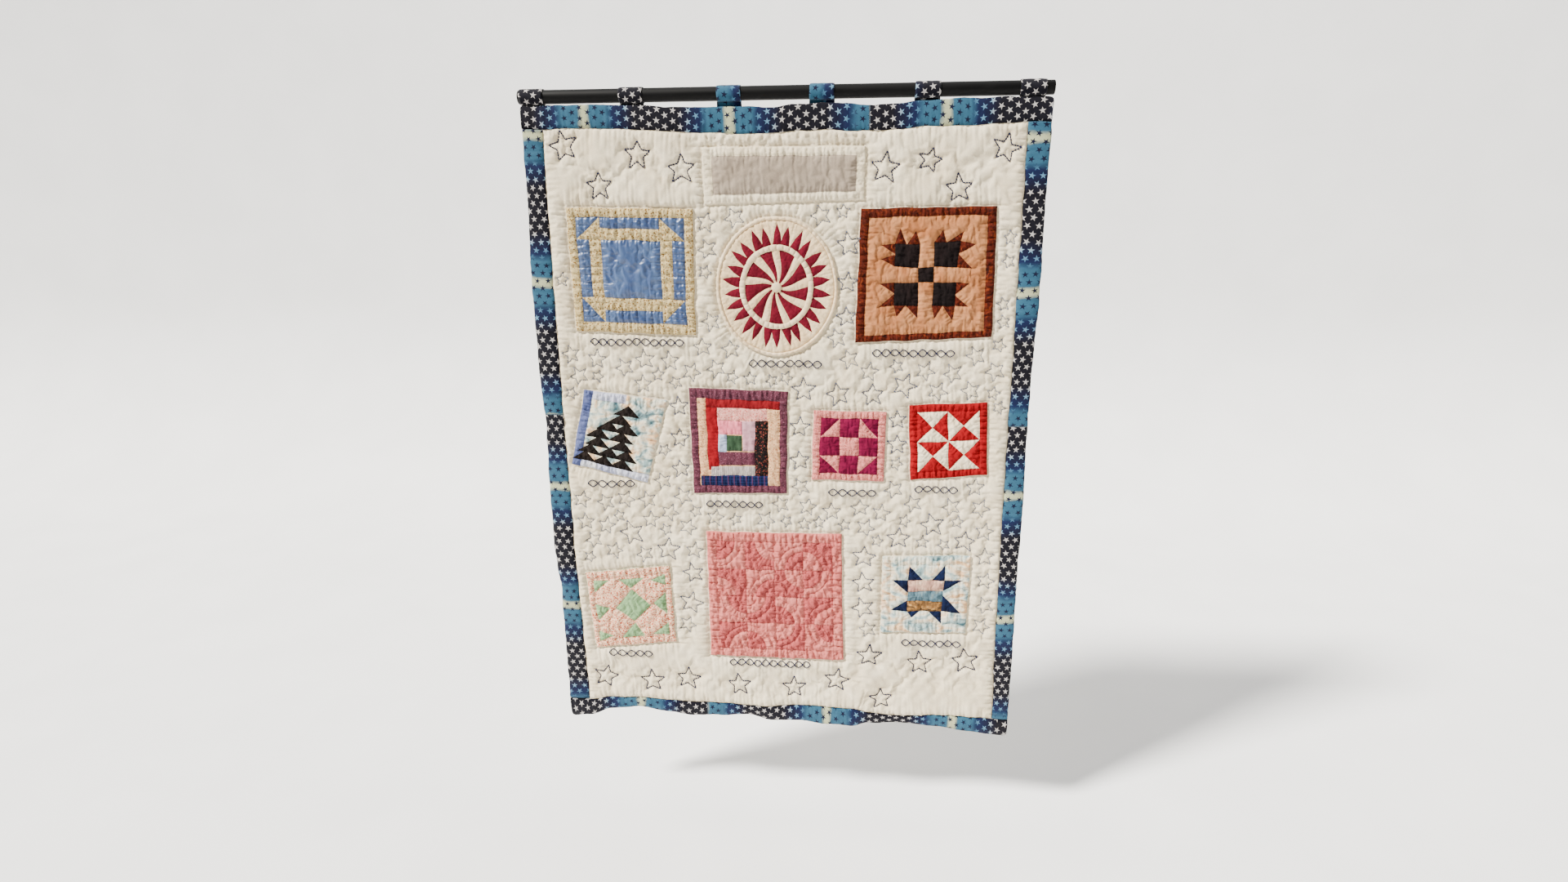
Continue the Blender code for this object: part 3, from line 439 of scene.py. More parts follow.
def triangulated(loops, open_lines, fill):
    """Flat triangles over an outline, sewn lines and filling points.

    The first loop is the outline, counterclockwise. Gives the points, the triangles, the
    places of the outline's points and which points are sewn.
    """
    points = []
    edges = []
    for loop in loops:
        first = len(points)
        points.extend(loop)
        edges.extend((first + i, first + (i + 1) % len(loop)) for i in range(len(loop)))
    for line in open_lines:
        first = len(points)
        points.extend(line)
        edges.extend((first + i, first + i + 1) for i in range(len(line) - 1))
    sewn_count = len(points)
    points.extend(fill)
    vectors = [Vector(point) for point in points]
    flat, _, faces, sources, _, _ = delaunay_2d_cdt(vectors, edges, [], 1, 1e-7)
    where = {}
    sewn = np.ones(len(flat), bool)
    for i, source in enumerate(sources):
        for j in source:
            where[j] = i
        if source and min(source) >= sewn_count:
            sewn[i] = False
    rim = [where[i] for i in range(len(loops[0]))]
    return np.array([(p.x, p.y) for p in flat]), np.array([tuple(f) for f in faces]), rim, sewn


def counterclockwise(loop):
    x = loop[:, 0]
    z = loop[:, 1]
    area = np.sum(x * np.roll(z, -1) - np.roll(x, -1) * z)
    return loop if area > 0 else loop[::-1]


def ride_root(obj, node=None):
    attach(obj, "root")
    if node:
        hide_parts(node)
    return obj


def mesh_object(name, verts, faces, materials, slots=None, uvs=None):
    """A smooth object from arrays of points and lists of faces."""
    mesh = bpy.data.meshes.new(name)
    mesh.from_pydata([tuple(v) for v in verts], [], [tuple(int(i) for i in f) for f in faces])
    for mat in materials:
        mesh.materials.append(mat)
    if slots is not None:
        mesh.polygons.foreach_set("material_index", np.asarray(slots, np.int32))
    mesh.shade_smooth()
    if uvs is not None:
        layer = mesh.uv_layers.new(name="cloth")
        corner = np.empty(len(mesh.loops), np.int32)
        mesh.loops.foreach_get("vertex_index", corner)
        layer.data.foreach_set("uv", np.asarray(uvs, np.float32)[corner].ravel())
    mesh.update()
    obj = bpy.data.objects.new(name, mesh)
    bpy.context.scene.collection.objects.link(obj)
    return obj


def skin(rows, count, rows_joined, count_joined):
    """Four-sided faces between rows of points; either way round may close on itself."""
    faces = []
    for row in range(rows if rows_joined else rows - 1):
        after = (row + 1) % rows
        for i in range(count if count_joined else count - 1):
            j = (i + 1) % count
            faces.append((row * count + i, row * count + j, after * count + j, after * count + i))
    return faces


def close_up(obj, weld=False):
    """Turn a closed piece's faces outwards, and weld points that fell together."""
    bm = bmesh.new()
    bm.from_mesh(obj.data)
    if weld:
        bmesh.ops.remove_doubles(bm, verts=bm.verts, dist=0.00001)
    bmesh.ops.recalc_face_normals(bm, faces=bm.faces)
    bm.to_mesh(obj.data)
    bm.free()


def closed_cloth(name, sheet, faces, rim, far_depth, materials, slots, turned=False):
    """A closed piece from a sheet and a plain one at a depth, joined round the rim."""
    edge = sheet[rim]
    far_side = edge.copy()
    far_side[:, 1] = FRONT_PLANE - far_depth - relief(edge[:, 0], edge[:, 2])
    flat = [Vector((p[0], p[2])) for p in edge]
    loop = [(i, (i + 1) % len(rim)) for i in range(len(rim))]
    _, _, tris, sources, _, _ = delaunay_2d_cdt(flat, loop, [], 1, 1e-9)
    shift = len(sheet)
    all_faces = [tuple(f) for f in faces]
    all_faces += [(rim[i], shift + i, shift + j, rim[j]) for i, j in loop]
    all_faces += [tuple(shift + sources[i][0] for i in reversed(tri)) for tri in tris]
    if turned:
        all_faces = [face[::-1] for face in all_faces]
    all_slots = list(slots) + [slots[-1]] * len(loop) + [0] * len(tris)
    return mesh_object(name, np.concatenate([sheet, far_side]), all_faces, materials, all_slots)


CLOTH_SETTINGS = {
    "quality": 3,
    "mass": 0.15,
    "air_damping": 6.0,
    "tension_stiffness": 12.0,
    "compression_stiffness": 12.0,
    "shear_stiffness": 4.0,
    "bending_stiffness": 0.6,
    "vertex_group_mass": "sewn",
    "use_pressure": True,
}
SETTLE_FRAMES = 12


def settled(verts, faces, pinned, slack, pressure, cap):
    """Where the cloth comes to rest with air under it and some slack between its sewn lines."""
    mesh = bpy.data.meshes.new("settling")
    mesh.from_pydata([tuple(v) for v in verts], [], [tuple(int(i) for i in f) for f in faces])
    obj = bpy.data.objects.new("settling", mesh)
    bpy.context.scene.collection.objects.link(obj)
    group = obj.vertex_groups.new(name="sewn")
    group.add([int(i) for i in np.nonzero(pinned)[0]], 1.0, "REPLACE")
    cloth = obj.modifiers.new("cloth", "CLOTH")
    for key, value in CLOTH_SETTINGS.items():
        setattr(cloth.settings, key, value)
    cloth.settings.shrink_min = -slack
    cloth.settings.uniform_pressure_force = pressure
    cloth.settings.effector_weights.gravity = 0.0
    cloth.collision_settings.use_collision = False
    cloth.point_cache.frame_start = 1
    cloth.point_cache.frame_end = SETTLE_FRAMES
    scene = bpy.context.scene
    for number in range(1, SETTLE_FRAMES + 1):
        scene.frame_set(number)
    shape = obj.evaluated_get(bpy.context.evaluated_depsgraph_get()).to_mesh()
    found = np.empty(len(verts) * 3)
    shape.vertices.foreach_get("co", found)
    bpy.data.objects.remove(obj, do_unlink=True)
    scene.frame_set(1)
    move = found.reshape(-1, 3) - verts
    far = np.linalg.norm(move, axis=1)
    move *= (cap * np.tanh(far / cap) / np.maximum(far, 1e-9))[:, None]
    return verts + move


# Shader helpers

DYE_DEPTH = 1.28


def rgb(red, green, blue):
    """A screen colour from 0 to 255 as linear light, a little deeper as the dye itself is."""
    linear = []
    for value in (red, green, blue):
        v = value / 255.0
        light = v / 12.92 if v <= 0.04045 else ((v + 0.055) / 1.055) ** 2.4
        linear.append(light ** DYE_DEPTH)
    return (*linear, 1.0)


class Graph:
    """Shader nodes of one material, laid down by short calls."""

    def __init__(self, name):
        self.material = bpy.data.materials.new(name)
        self.material.use_nodes = True
        self.tree = self.material.node_tree
        self.shader = self.tree.nodes["Principled BSDF"]
        place_node = self.add("ShaderNodeTexCoord")
        self.spot = place_node.outputs["Object"]
        self.uv = place_node.outputs["UV"]

    def add(self, kind, **settings):
        node = self.tree.nodes.new(kind)
        for key, value in settings.items():
            setattr(node, key, value)
        return node

    def feed(self, socket, value):
        if isinstance(value, bpy.types.NodeSocket):
            self.tree.links.new(value, socket)
        else:
            socket.default_value = value

    def math(self, operation, *values):
        node = self.add("ShaderNodeMath", operation=operation)
        for socket, value in zip(node.inputs, values):
            self.feed(socket, value)
        return node.outputs[0]

    def plus(self, first, second):
        return self.math("ADD", first, second)

    def minus(self, first, second):
        return self.math("SUBTRACT", first, second)

    def times(self, first, second):
        return self.math("MULTIPLY", first, second)

    def over(self, first, second):
        return self.math("DIVIDE", first, second)

    def mix(self, share, first, second, blend="MIX"):
        node = self.add("ShaderNodeMix", data_type="RGBA", blend_type=blend)
        for number, value in ((0, share), (6, first), (7, second)):
            self.feed(node.inputs[number], value)
        return node.outputs[2]

    def ramp(self, share, *stops):
        """A colour or grey that follows a share through stops."""
        node = self.add("ShaderNodeValToRGB")
        bar = node.color_ramp.elements
        while len(bar) < len(stops):
            bar.new(1.0)
        for element, (position, colour) in zip(bar, stops):
            element.position = position
            element.color = colour if isinstance(colour, tuple) else (colour, colour, colour, 1.0)
        self.feed(node.inputs[0], share)
        return node.outputs[0]

    def scaled(self, vector, x, y, z):
        node = self.add("ShaderNodeVectorMath", operation="MULTIPLY")
        self.feed(node.inputs[0], vector)
        node.inputs[1].default_value = (x, y, z)
        return node.outputs[0]

    def parts(self, vector):
        node = self.add("ShaderNodeSeparateXYZ")
        self.feed(node.inputs[0], vector)
        return node.outputs

    def joined(self, x, y):
        node = self.add("ShaderNodeCombineXYZ")
        self.feed(node.inputs[0], x)
        self.feed(node.inputs[1], y)
        return node.outputs[0]

    def texture(self, kind, vector, **inputs):
        node = self.add(kind)
        self.feed(node.inputs["Vector"], vector)
        for key, value in inputs.items():
            node.inputs[key].default_value = value
        return node

    def noise(self, vector, scale, detail=2.0, distortion=0.0):
        node = self.texture("ShaderNodeTexNoise", vector, Scale=scale, Detail=detail, Distortion=distortion)
        return node.outputs["Fac"]

    def cells(self, vector, scale):
        return self.texture("ShaderNodeTexVoronoi", vector, Scale=scale).outputs["Distance"]

    def weave(self, across, along):
        """Over and under threads of a plain weave, from two directions in metres."""
        turn = 2 * math.pi / THREAD_PITCH
        first = self.math("SINE", self.times(across, turn))
        return self.times(first, self.math("SINE", self.times(along, turn)))

    def dress(self, colour, height, strength, roughness, sheen, specular=0.14):
        """Finish the shader: colour, bump height in metres, roughness, sheen and shine."""
        bump = self.add("ShaderNodeBump")
        bump.inputs["Strength"].default_value = strength
        bump.inputs["Distance"].default_value = 1.0
        self.feed(bump.inputs["Height"], height)
        self.feed(self.shader.inputs["Normal"], bump.outputs[0])
        self.feed(self.shader.inputs["Base Color"], colour)
        self.feed(self.shader.inputs["Roughness"], roughness)
        self.shader.inputs["Sheen Weight"].default_value = sheen
        self.shader.inputs["Sheen Roughness"].default_value = 0.5
        self.shader.inputs["Specular IOR Level"].default_value = specular
        return self.material


THREAD_PITCH = 0.0009
THREAD_HEIGHT = 0.00005
CREASE_HEIGHT = 0.00030


def cloth_finish(graph, colour, across=None, along=None, roughness=0.88, sheen=0.02):
    """Weave, uneven threads and small creases that every cotton here has."""
    if across is None:
        across, _, along = graph.parts(graph.spot)
    plane = graph.joined(across, along)
    slub = graph.noise(graph.scaled(plane, 1.0, 9.0, 1.0), 160.0, 3.0)
    slub_down = graph.noise(graph.scaled(plane, 9.0, 1.0, 1.0), 160.0, 3.0)
    threads = graph.plus(slub, slub_down)
    tone = graph.ramp(graph.times(threads, 0.5), (0.35, 0.80), (0.65, 1.08))
    worn = graph.ramp(graph.noise(plane, 22.0, 4.0, 0.4), (0.30, 0.90), (0.70, 1.04))
    colour = graph.mix(1.0, colour, tone, "MULTIPLY")
    colour = graph.mix(1.0, colour, worn, "MULTIPLY")
    fine = graph.times(graph.weave(across, along), THREAD_HEIGHT)
    crinkle = graph.times(graph.noise(plane, 110.0, 4.0, 1.2), CREASE_HEIGHT)
    rough = graph.ramp(threads, (0.2, roughness - 0.06), (0.8, min(1.0, roughness + 0.06)))
    return graph.dress(colour, graph.plus(fine, crinkle), 0.8, rough, sheen)


def plain_cotton(name, colour, light):
    """Dyed cotton with slightly uneven colour."""
    graph = Graph(name)
    share = graph.ramp(graph.noise(graph.spot, 14.0, 4.0, 0.8), (0.35, 0.0), (0.65, 1.0))
    return cloth_finish(graph, graph.mix(share, rgb(*colour), rgb(*light)))


def sprig_print(name, ground, flower, leaf, pitch, cover=0.36):
    """Small all-over print of flowers and leaves on a ground colour."""
    graph = Graph(name)
    x, _, z = graph.parts(graph.spot)
    plane = graph.joined(x, z)
    shake = graph.texture("ShaderNodeTexNoise", plane, Scale=420.0)
    push = graph.add("ShaderNodeVectorMath", operation="SCALE")
    graph.feed(push.inputs[0], shake.outputs["Color"])
    push.inputs["Scale"].default_value = 0.0030
    moved = graph.add("ShaderNodeVectorMath", operation="ADD")
    graph.feed(moved.inputs[0], plane)
    graph.feed(moved.inputs[1], push.outputs[0])
    spot = moved.outputs[0]
    flowers = graph.ramp(graph.cells(spot, 1.0 / pitch), (cover - 0.06, 1.0), (cover, 0.0))
    leaves = graph.ramp(graph.cells(spot, 1.35 / pitch), (cover - 0.10, 1.0), (cover - 0.04, 0.0))
    colour = graph.mix(leaves, rgb(*ground), rgb(*leaf))
    return cloth_finish(graph, graph.mix(flowers, colour, rgb(*flower)), x, z)


def batik(name, base, light, dark):
    """Hand-dyed cotton in swirling patches of light and dark."""
    graph = Graph(name)
    swirl = graph.noise(graph.spot, 60.0, 5.0, 2.2)
    return cloth_finish(graph, graph.ramp(swirl, (0.30, rgb(*dark)), (0.48, rgb(*base)),
                                          (0.56, rgb(*base)), (0.70, rgb(*light))))


def mottled(name, scale, *stops):
    """A soft cloudy print in several colours."""
    graph = Graph(name)
    share = graph.noise(graph.scaled(graph.spot, 1.0, 1.0, 1.5), scale, 5.0, 1.0)
    return cloth_finish(graph, graph.ramp(share, *((position, rgb(*colour)) for position, *colour in stops)))


def striped(name, base, line, pitch):
    """Woven or printed narrow stripes."""
    graph = Graph(name)
    x, _, z = graph.parts(graph.spot)
    wobble = graph.times(graph.noise(graph.spot, 60.0, 2.0), pitch * 0.8)
    wave = graph.math("SINE", graph.times(graph.plus(x, wobble), 2 * math.pi / pitch))
    colour = graph.mix(graph.ramp(wave, (0.35, 0.0), (0.65, 1.0)), rgb(*base), rgb(*line))
    return cloth_finish(graph, colour, x, z)


def plaid(name, base, line, bright, pitch):
    """Crossing woven stripes."""
    graph = Graph(name)
    x, _, z = graph.parts(graph.spot)
    colour = rgb(*base)
    for way, other, apart, most in ((x, line, pitch, 0.65), (z, line, pitch, 0.65),
                                    (x, bright, pitch * 2.0, 0.5)):
        wave = graph.math("SINE", graph.times(way, 2 * math.pi / apart))
        colour = graph.mix(graph.ramp(wave, (0.60, 0.0), (0.95, most)), colour, rgb(*other))
    return cloth_finish(graph, colour, x, z)


def satin(name, colour, light):
    """Shiny satin with drawn threads."""
    graph = Graph(name)
    share = graph.noise(graph.scaled(graph.spot, 1.0, 1.0, 0.35), 26.0, 4.0, 1.0)
    base = graph.mix(graph.ramp(share, (0.35, 0.0), (0.7, 1.0)), rgb(*colour), rgb(*light))
    fine = graph.noise(graph.scaled(graph.spot, 1.0, 1.0, 0.06), 900.0, 2.0)
    base = graph.mix(1.0, base, graph.ramp(fine, (0.3, 0.93), (0.7, 1.05)), "MULTIPLY")
    crinkle = graph.times(graph.noise(graph.spot, 90.0, 3.0, 1.0), 0.0005)
    height = graph.plus(graph.times(fine, 0.00006), crinkle)
    return graph.dress(base, height, 0.8, graph.ramp(share, (0.2, 0.34), (0.8, 0.48)), 0.1, 0.55)


STAR_PITCH = 0.0245
STAR_COLUMN = STAR_PITCH * 0.76
STAR_RADIUS = 0.0086
PRINT_WAIST = 0.36
STAR_EDGE = 900.0
BAND_PERIOD = 0.350
FIFTH = 2 * math.pi / 5


def star_print(name):
    """Banded print, black through navy and teal to a pale stripe, with scattered small stars."""
    graph = Graph(name)
    along, across, _ = graph.parts(graph.uv)

    # Bands repeat along the cloth, the pale stripe at each whole period
    wobble = graph.times(graph.minus(graph.noise(graph.uv, 30.0, 3.0), 0.5), 0.02)
    turns = graph.math("FRACT", graph.over(graph.plus(along, wobble), BAND_PERIOD))
    apart = graph.times(graph.math("PINGPONG", turns, 0.5), BAND_PERIOD)
    share = graph.over(apart, BAND_PERIOD / 2)
    teal = rgb(64, 106, 128)
    ground = graph.ramp(share, (0.03, rgb(188, 190, 160)), (0.085, teal), (0.30, teal),
                        (0.40, rgb(26, 42, 82)), (0.56, rgb(22, 28, 62)), (0.70, rgb(18, 15, 34)))
    star_colour = graph.ramp(share, (0.30, rgb(18, 26, 62)), (0.38, rgb(80, 122, 148)),
                             (0.55, rgb(120, 156, 180)), (0.68, rgb(186, 182, 180)))

    # One star to a cell, alternate columns half a cell lower, each turned a little
    column = graph.over(along, STAR_COLUMN)
    column_number = graph.math("FLOOR", column)
    odd = graph.times(graph.math("FRACT", graph.times(column_number, 0.5)), STAR_PITCH)
    row = graph.over(graph.plus(across, odd), STAR_PITCH)
    luck = graph.add("ShaderNodeTexWhiteNoise", noise_dimensions="2D")
    graph.feed(luck.inputs["Vector"], graph.joined(column_number, graph.math("FLOOR", row)))
    luck_x, luck_y, luck_z = graph.parts(luck.outputs["Color"])
    x = graph.times(graph.minus(graph.math("FRACT", column), 0.5), STAR_COLUMN)
    y = graph.times(graph.minus(graph.math("FRACT", row), 0.5), STAR_PITCH)
    x = graph.plus(x, graph.times(graph.minus(luck_x, 0.5), 0.002))
    y = graph.plus(y, graph.times(graph.minus(luck_y, 0.5), 0.004))

    # Each star folded into one half point, whose side is a straight line
    angle = graph.plus(graph.math("ARCTAN2", x, y), graph.times(luck_z, 1.26))
    length = graph.math("SQRT", graph.plus(graph.times(x, x), graph.times(y, y)))
    folded = graph.math("PINGPONG", graph.plus(angle, 4 * FIFTH), FIFTH / 2)
    waist_x = STAR_RADIUS * PRINT_WAIST * math.cos(FIFTH / 2)
    waist_y = STAR_RADIUS * PRINT_WAIST * math.sin(FIFTH / 2)
    side = math.hypot(waist_y, STAR_RADIUS - waist_x)
    normal_x = waist_y / side
    normal_y = (STAR_RADIUS - waist_x) / side
    tip_x = graph.times(graph.times(length, graph.math("COSINE", folded)), normal_x)
    tip_y = graph.times(graph.times(length, graph.math("SINE", folded)), normal_y)
    beyond = graph.minus(graph.plus(tip_x, tip_y), STAR_RADIUS * normal_x)
    mask = graph.ramp(graph.plus(graph.times(beyond, STAR_EDGE), 0.5), (0.3, 1.0), (0.7, 0.0))
    return cloth_finish(graph, graph.mix(mask, ground, star_colour), along, across, 0.85, 0.1)


def thread(name, *colour):
    """Twisted cotton thread."""
    graph = Graph(name)
    twist = graph.noise(graph.spot, 1500.0, 2.0)
    light = rgb(*colour)
    dark = tuple(c * 0.7 for c in light[:3]) + (1.0,)
    tone = graph.ramp(twist, (0.3, dark), (0.7, light))
    return graph.dress(tone, graph.times(twist, 0.0002), 0.6, 0.7, 0.2)


def painted_metal(name):
    """Matte black paint with fine grain and faint handling marks."""
    graph = Graph(name)
    grain = graph.times(graph.noise(graph.spot, 700.0, 3.0), 0.00008)
    marks = graph.noise(graph.scaled(graph.spot, 0.3, 1.0, 1.0), 30.0, 5.0, 1.0)
    colour = graph.ramp(marks, (0.3, rgb(10, 10, 11)), (0.75, rgb(20, 19, 20)))
    rough = graph.ramp(marks, (0.3, 0.50), (0.7, 0.62))
    return graph.dress(colour, grain, 0.5, rough, 0.0, 0.12)


CREAM = plain_cotton("cream_cotton", (230, 217, 190), (239, 228, 204))
LABEL = plain_cotton("label_cotton", (166, 153, 138), (179, 166, 151))
BACKING = plain_cotton("backing_cotton", (222, 214, 196), (230, 223, 207))
BORDER = star_print("star_print")
TAN_CALICO = sprig_print("tan_calico", (206, 188, 146), (150, 120, 74), (176, 152, 102), 0.0060)
BLUE_SATIN = satin("blue_satin", (64, 86, 126), (90, 114, 150))
RUST = batik("rust_batik", (98, 40, 20), (140, 72, 34), (56, 20, 11))
PEACH = plain_cotton("peach_cotton", (178, 124, 84), (192, 142, 102))
COCOA = plain_cotton("cocoa_cotton", (28, 16, 17), (38, 24, 24))
BURGUNDY = plain_cotton("burgundy_cotton", (110, 20, 44), (126, 28, 54))
WHEEL_CREAM = plain_cotton("warm_cream_cotton", (232, 206, 168), (238, 218, 184))
BIAS_CREAM = plain_cotton("bias_cotton", (230, 208, 174), (236, 218, 188))
LAVENDER = plain_cotton("lavender_cotton", (92, 102, 144), (120, 128, 166))
HAZE = mottled("haze_print", 16.0, (0.30, 150, 156, 190), (0.50, 196, 198, 214), (0.70, 222, 222, 224))
SKY = mottled("sky_print", 20.0, (0.30, 88, 120, 128), (0.42, 176, 194, 192), (0.52, 226, 222, 204),
              (0.64, 224, 190, 152))
CHARCOAL = plain_cotton("charcoal_cotton", (36, 28, 26), (48, 38, 34))
MAUVE = sprig_print("mauve_print", (110, 66, 80), (134, 92, 106), (88, 48, 64), 0.0045)
BRICK = plain_cotton("brick_cotton", (128, 22, 34), (150, 38, 48))
RED_STRIP = plain_cotton("red_cotton", (140, 16, 32), (160, 28, 44))
PINK_SPRIG = sprig_print("pink_sprig", (226, 168, 158), (204, 120, 112), (240, 206, 190), 0.0055)
BRIGHT_PINK = plain_cotton("bright_pink_cotton", (226, 128, 146), (236, 150, 162))
LEAF_GREEN = plain_cotton("leaf_green_cotton", (58, 82, 62), (78, 100, 78))
PALE_BLUE = plain_cotton("pale_blue_cotton", (170, 182, 206), (190, 200, 218))
PALE_MAUVE = plain_cotton("pale_mauve_cotton", (196, 150, 160), (208, 170, 178))
GREY_STRIPE = striped("grey_stripe", (196, 186, 180), (128, 116, 120), 0.0036)
DARK_SPRIG = sprig_print("dark_sprig", (34, 22, 26), (128, 70, 62), (80, 70, 52), 0.0065)
NAVY_PLAID = plaid("navy_plaid", (24, 34, 74), (52, 66, 112), (110, 60, 84), 0.0080)
CABIN_TAN = sprig_print("cabin_calico", (224, 186, 148), (190, 132, 98), (206, 160, 118), 0.0050)
MAGENTA = plain_cotton("magenta_cotton", (118, 8, 62), (138, 20, 78))
PALE_PINK = sprig_print("pale_pink_sprig", (216, 144, 136), (192, 102, 100), (228, 172, 160), 0.0042)
SCARLET = plain_cotton("scarlet_cotton", (148, 2, 26), (166, 10, 34))
BOW_CREAM = plain_cotton("bow_cream_cotton", (236, 220, 190), (242, 230, 206))
CORAL_CALICO = sprig_print("coral_calico", (236, 204, 176), (196, 98, 74), (216, 140, 108), 0.0050, 0.40)
MINT = plain_cotton("mint_cotton", (136, 168, 126), (162, 188, 148))
ROSE = plain_cotton("rose_cotton", (206, 124, 118), (214, 138, 130))
DEEP_ROSE = sprig_print("deep_rose_print", (188, 104, 102), (170, 86, 88), (198, 118, 114), 0.0040)
NAVY = plain_cotton("navy_cotton", (20, 32, 64), (28, 44, 80))
DUSK = mottled("dusk_print", 30.0, (0.30, 168, 128, 122), (0.55, 206, 172, 152), (0.75, 222, 200, 180))
LAKE = mottled("lake_print", 30.0, (0.30, 70, 92, 104), (0.55, 110, 136, 146), (0.75, 168, 172, 160))
AMBER = mottled("amber_print", 55.0, (0.30, 72, 66, 56), (0.52, 148, 112, 70), (0.72, 196, 158, 104))
DARK_THREAD = thread("dark_thread", 44, 46, 82)
GREY_THREAD = thread("grey_thread", 110, 114, 132)
PALE_THREAD = thread("pale_thread", 146, 148, 156)
BLACK_PAINT = painted_metal("black_paint")


# Patches of the blocks, by shares across and down

CORNER_ORDER = ("tl", "tr", "br", "bl")


def box_patch(left, top, right, low):
    return [(left, top), (right, top), (right, low), (left, low)]


def half_square(left, top, right, low, outer):
    """The triangle of a square's cell that has its right angle at the named corner."""
    corners = box_patch(left, top, right, low)
    at = CORNER_ORDER.index(outer)
    return [corners[at - 1], corners[at], corners[(at + 1) % 4]]


def pieced(*rows):
    """Patches from rows of a cloth, a box's sides and maybe the corner of its half square."""
    return [(mat, half_square(*box) if len(box) == 5 else box_patch(*box)) for mat, *box in rows]


def cut(mat, shapes):
    """Patches of one cloth from lists of corners."""
    return [(mat, list(shape)) for shape in shapes]


def churn_dash_patches():
    a, b, c, d, e, f = 0.07, 0.17, 0.262, 0.738, 0.83, 0.93
    top, blue_low, low, g, h, i = 0.071, 0.157, 0.25, 0.714, 0.814, 0.914
    return pieced(
        (TAN_CALICO, 0, 0, 1, 1),
        (BLUE_SATIN, c, top, d, blue_low),
        (TAN_CALICO, c, blue_low, d, low),
        (BLUE_SATIN, c, h, d, i),
        (TAN_CALICO, c, g, d, h),
        (BLUE_SATIN, a, low, b, g),
        (TAN_CALICO, b, low, c, g),
        (BLUE_SATIN, e, low, f, g),
        (TAN_CALICO, d, low, e, g),
        (BLUE_SATIN, c, low, d, g),
        (BLUE_SATIN, a, top, c, low, "tl"),
        (BLUE_SATIN, d, top, f, low, "tr"),
        (BLUE_SATIN, d, g, f, i, "br"),
        (BLUE_SATIN, a, g, c, i, "bl"),
    )


PAW_SQUARES = (
    ((0.263, 0.262), (0.448, 0.265), (0.444, 0.442), (0.268, 0.432)),
    ((0.553, 0.257), (0.739, 0.250), (0.728, 0.449), (0.558, 0.442)),
    ((0.269, 0.550), (0.451, 0.555), (0.454, 0.732), (0.273, 0.724)),
    ((0.556, 0.556), (0.725, 0.562), (0.726, 0.743), (0.555, 0.739)),
    ((0.444, 0.442), (0.558, 0.442), (0.556, 0.556), (0.451, 0.555)),
)
PAW_CLAWS = (
    ((0.263, 0.262), (0.306, 0.147), (0.350, 0.263)), ((0.355, 0.263), (0.420, 0.168), (0.448, 0.265)),
    ((0.166, 0.265), (0.263, 0.262), (0.265, 0.340)), ((0.166, 0.372), (0.265, 0.346), (0.268, 0.432)),
    ((0.553, 0.257), (0.618, 0.165), (0.644, 0.254)), ((0.650, 0.254), (0.764, 0.180), (0.739, 0.250)),
    ((0.854, 0.278), (0.734, 0.345), (0.739, 0.250)), ((0.838, 0.462), (0.728, 0.449), (0.734, 0.352)),
    ((0.168, 0.554), (0.269, 0.550), (0.271, 0.634)), ((0.166, 0.735), (0.271, 0.640), (0.273, 0.724)),
    ((0.273, 0.724), (0.300, 0.812), (0.356, 0.728)), ((0.362, 0.728), (0.455, 0.830), (0.454, 0.732)),
    ((0.815, 0.575), (0.725, 0.655), (0.725, 0.562)), ((0.818, 0.756), (0.726, 0.743), (0.725, 0.662)),
    ((0.555, 0.739), (0.572, 0.838), (0.634, 0.741)), ((0.640, 0.742), (0.708, 0.856), (0.726, 0.743)),
)


def paw_patches():
    patches = pieced((RUST, 0, 0, 1, 1), (PEACH, 0.064, 0.063, 0.938, 0.948))
    return patches + cut(RUST, PAW_CLAWS) + cut(COCOA, PAW_SQUARES)


# Rows of geese: the row's top, then the middle of each goose in it
GEESE_ROWS = ((0.125, 0.56), (0.245, 0.50), (0.345, 0.38, 0.60), (0.455, 0.27, 0.56),
              (0.565, 0.28, 0.58), (0.675, 0.20, 0.44, 0.66), (0.785, 0.15, 0.40, 0.64))
GOOSE_HALF = 0.165
GOOSE_TALL = 0.132


def geese_patches():
    patches = pieced((SKY, 0, 0, 1, 1), (HAZE, 0.11, 0, 0.52, 0.105), (LAVENDER, 0, 0, 0.11, 1),
                     (HAZE, 0.11, 0.905, 1, 1))
    for top, *middles in GEESE_ROWS:
        low = top + GOOSE_TALL
        patches += cut(CHARCOAL, [((middle, top), (middle + GOOSE_HALF, low), (middle - GOOSE_HALF, low))
                                  for middle in middles])
    return patches


def cabin_patches():
    left, top, right, low = 0.075, 0.095, 0.925, 0.925
    return pieced(
        (MAUVE, 0, 0, 1, 1),
        (CABIN_TAN, left, top, right, low),
        (BRICK, 0.165, top, right, 0.175),
        (RED_STRIP, 0.165, 0.175, 0.285, 0.765),
        (PINK_SPRIG, 0.285, 0.175, 0.79, 0.295),
        (CABIN_TAN, 0.80, 0.175, right, low),
        (BRIGHT_PINK, 0.285, 0.295, 0.535, 0.425),
        (PALE_MAUVE, 0.535, 0.295, 0.665, 0.585),
        (PALE_BLUE, 0.285, 0.425, 0.37, 0.595),
        (LEAF_GREEN, 0.37, 0.435, 0.53, 0.585),
        (MAUVE, 0.285, 0.595, 0.665, 0.725),
        (GREY_STRIPE, 0.19, 0.735, 0.665, 0.825),
        (DARK_SPRIG, 0.665, 0.295, 0.80, 0.825),
        (NAVY_PLAID, 0.085, 0.825, 0.80, low),
    )


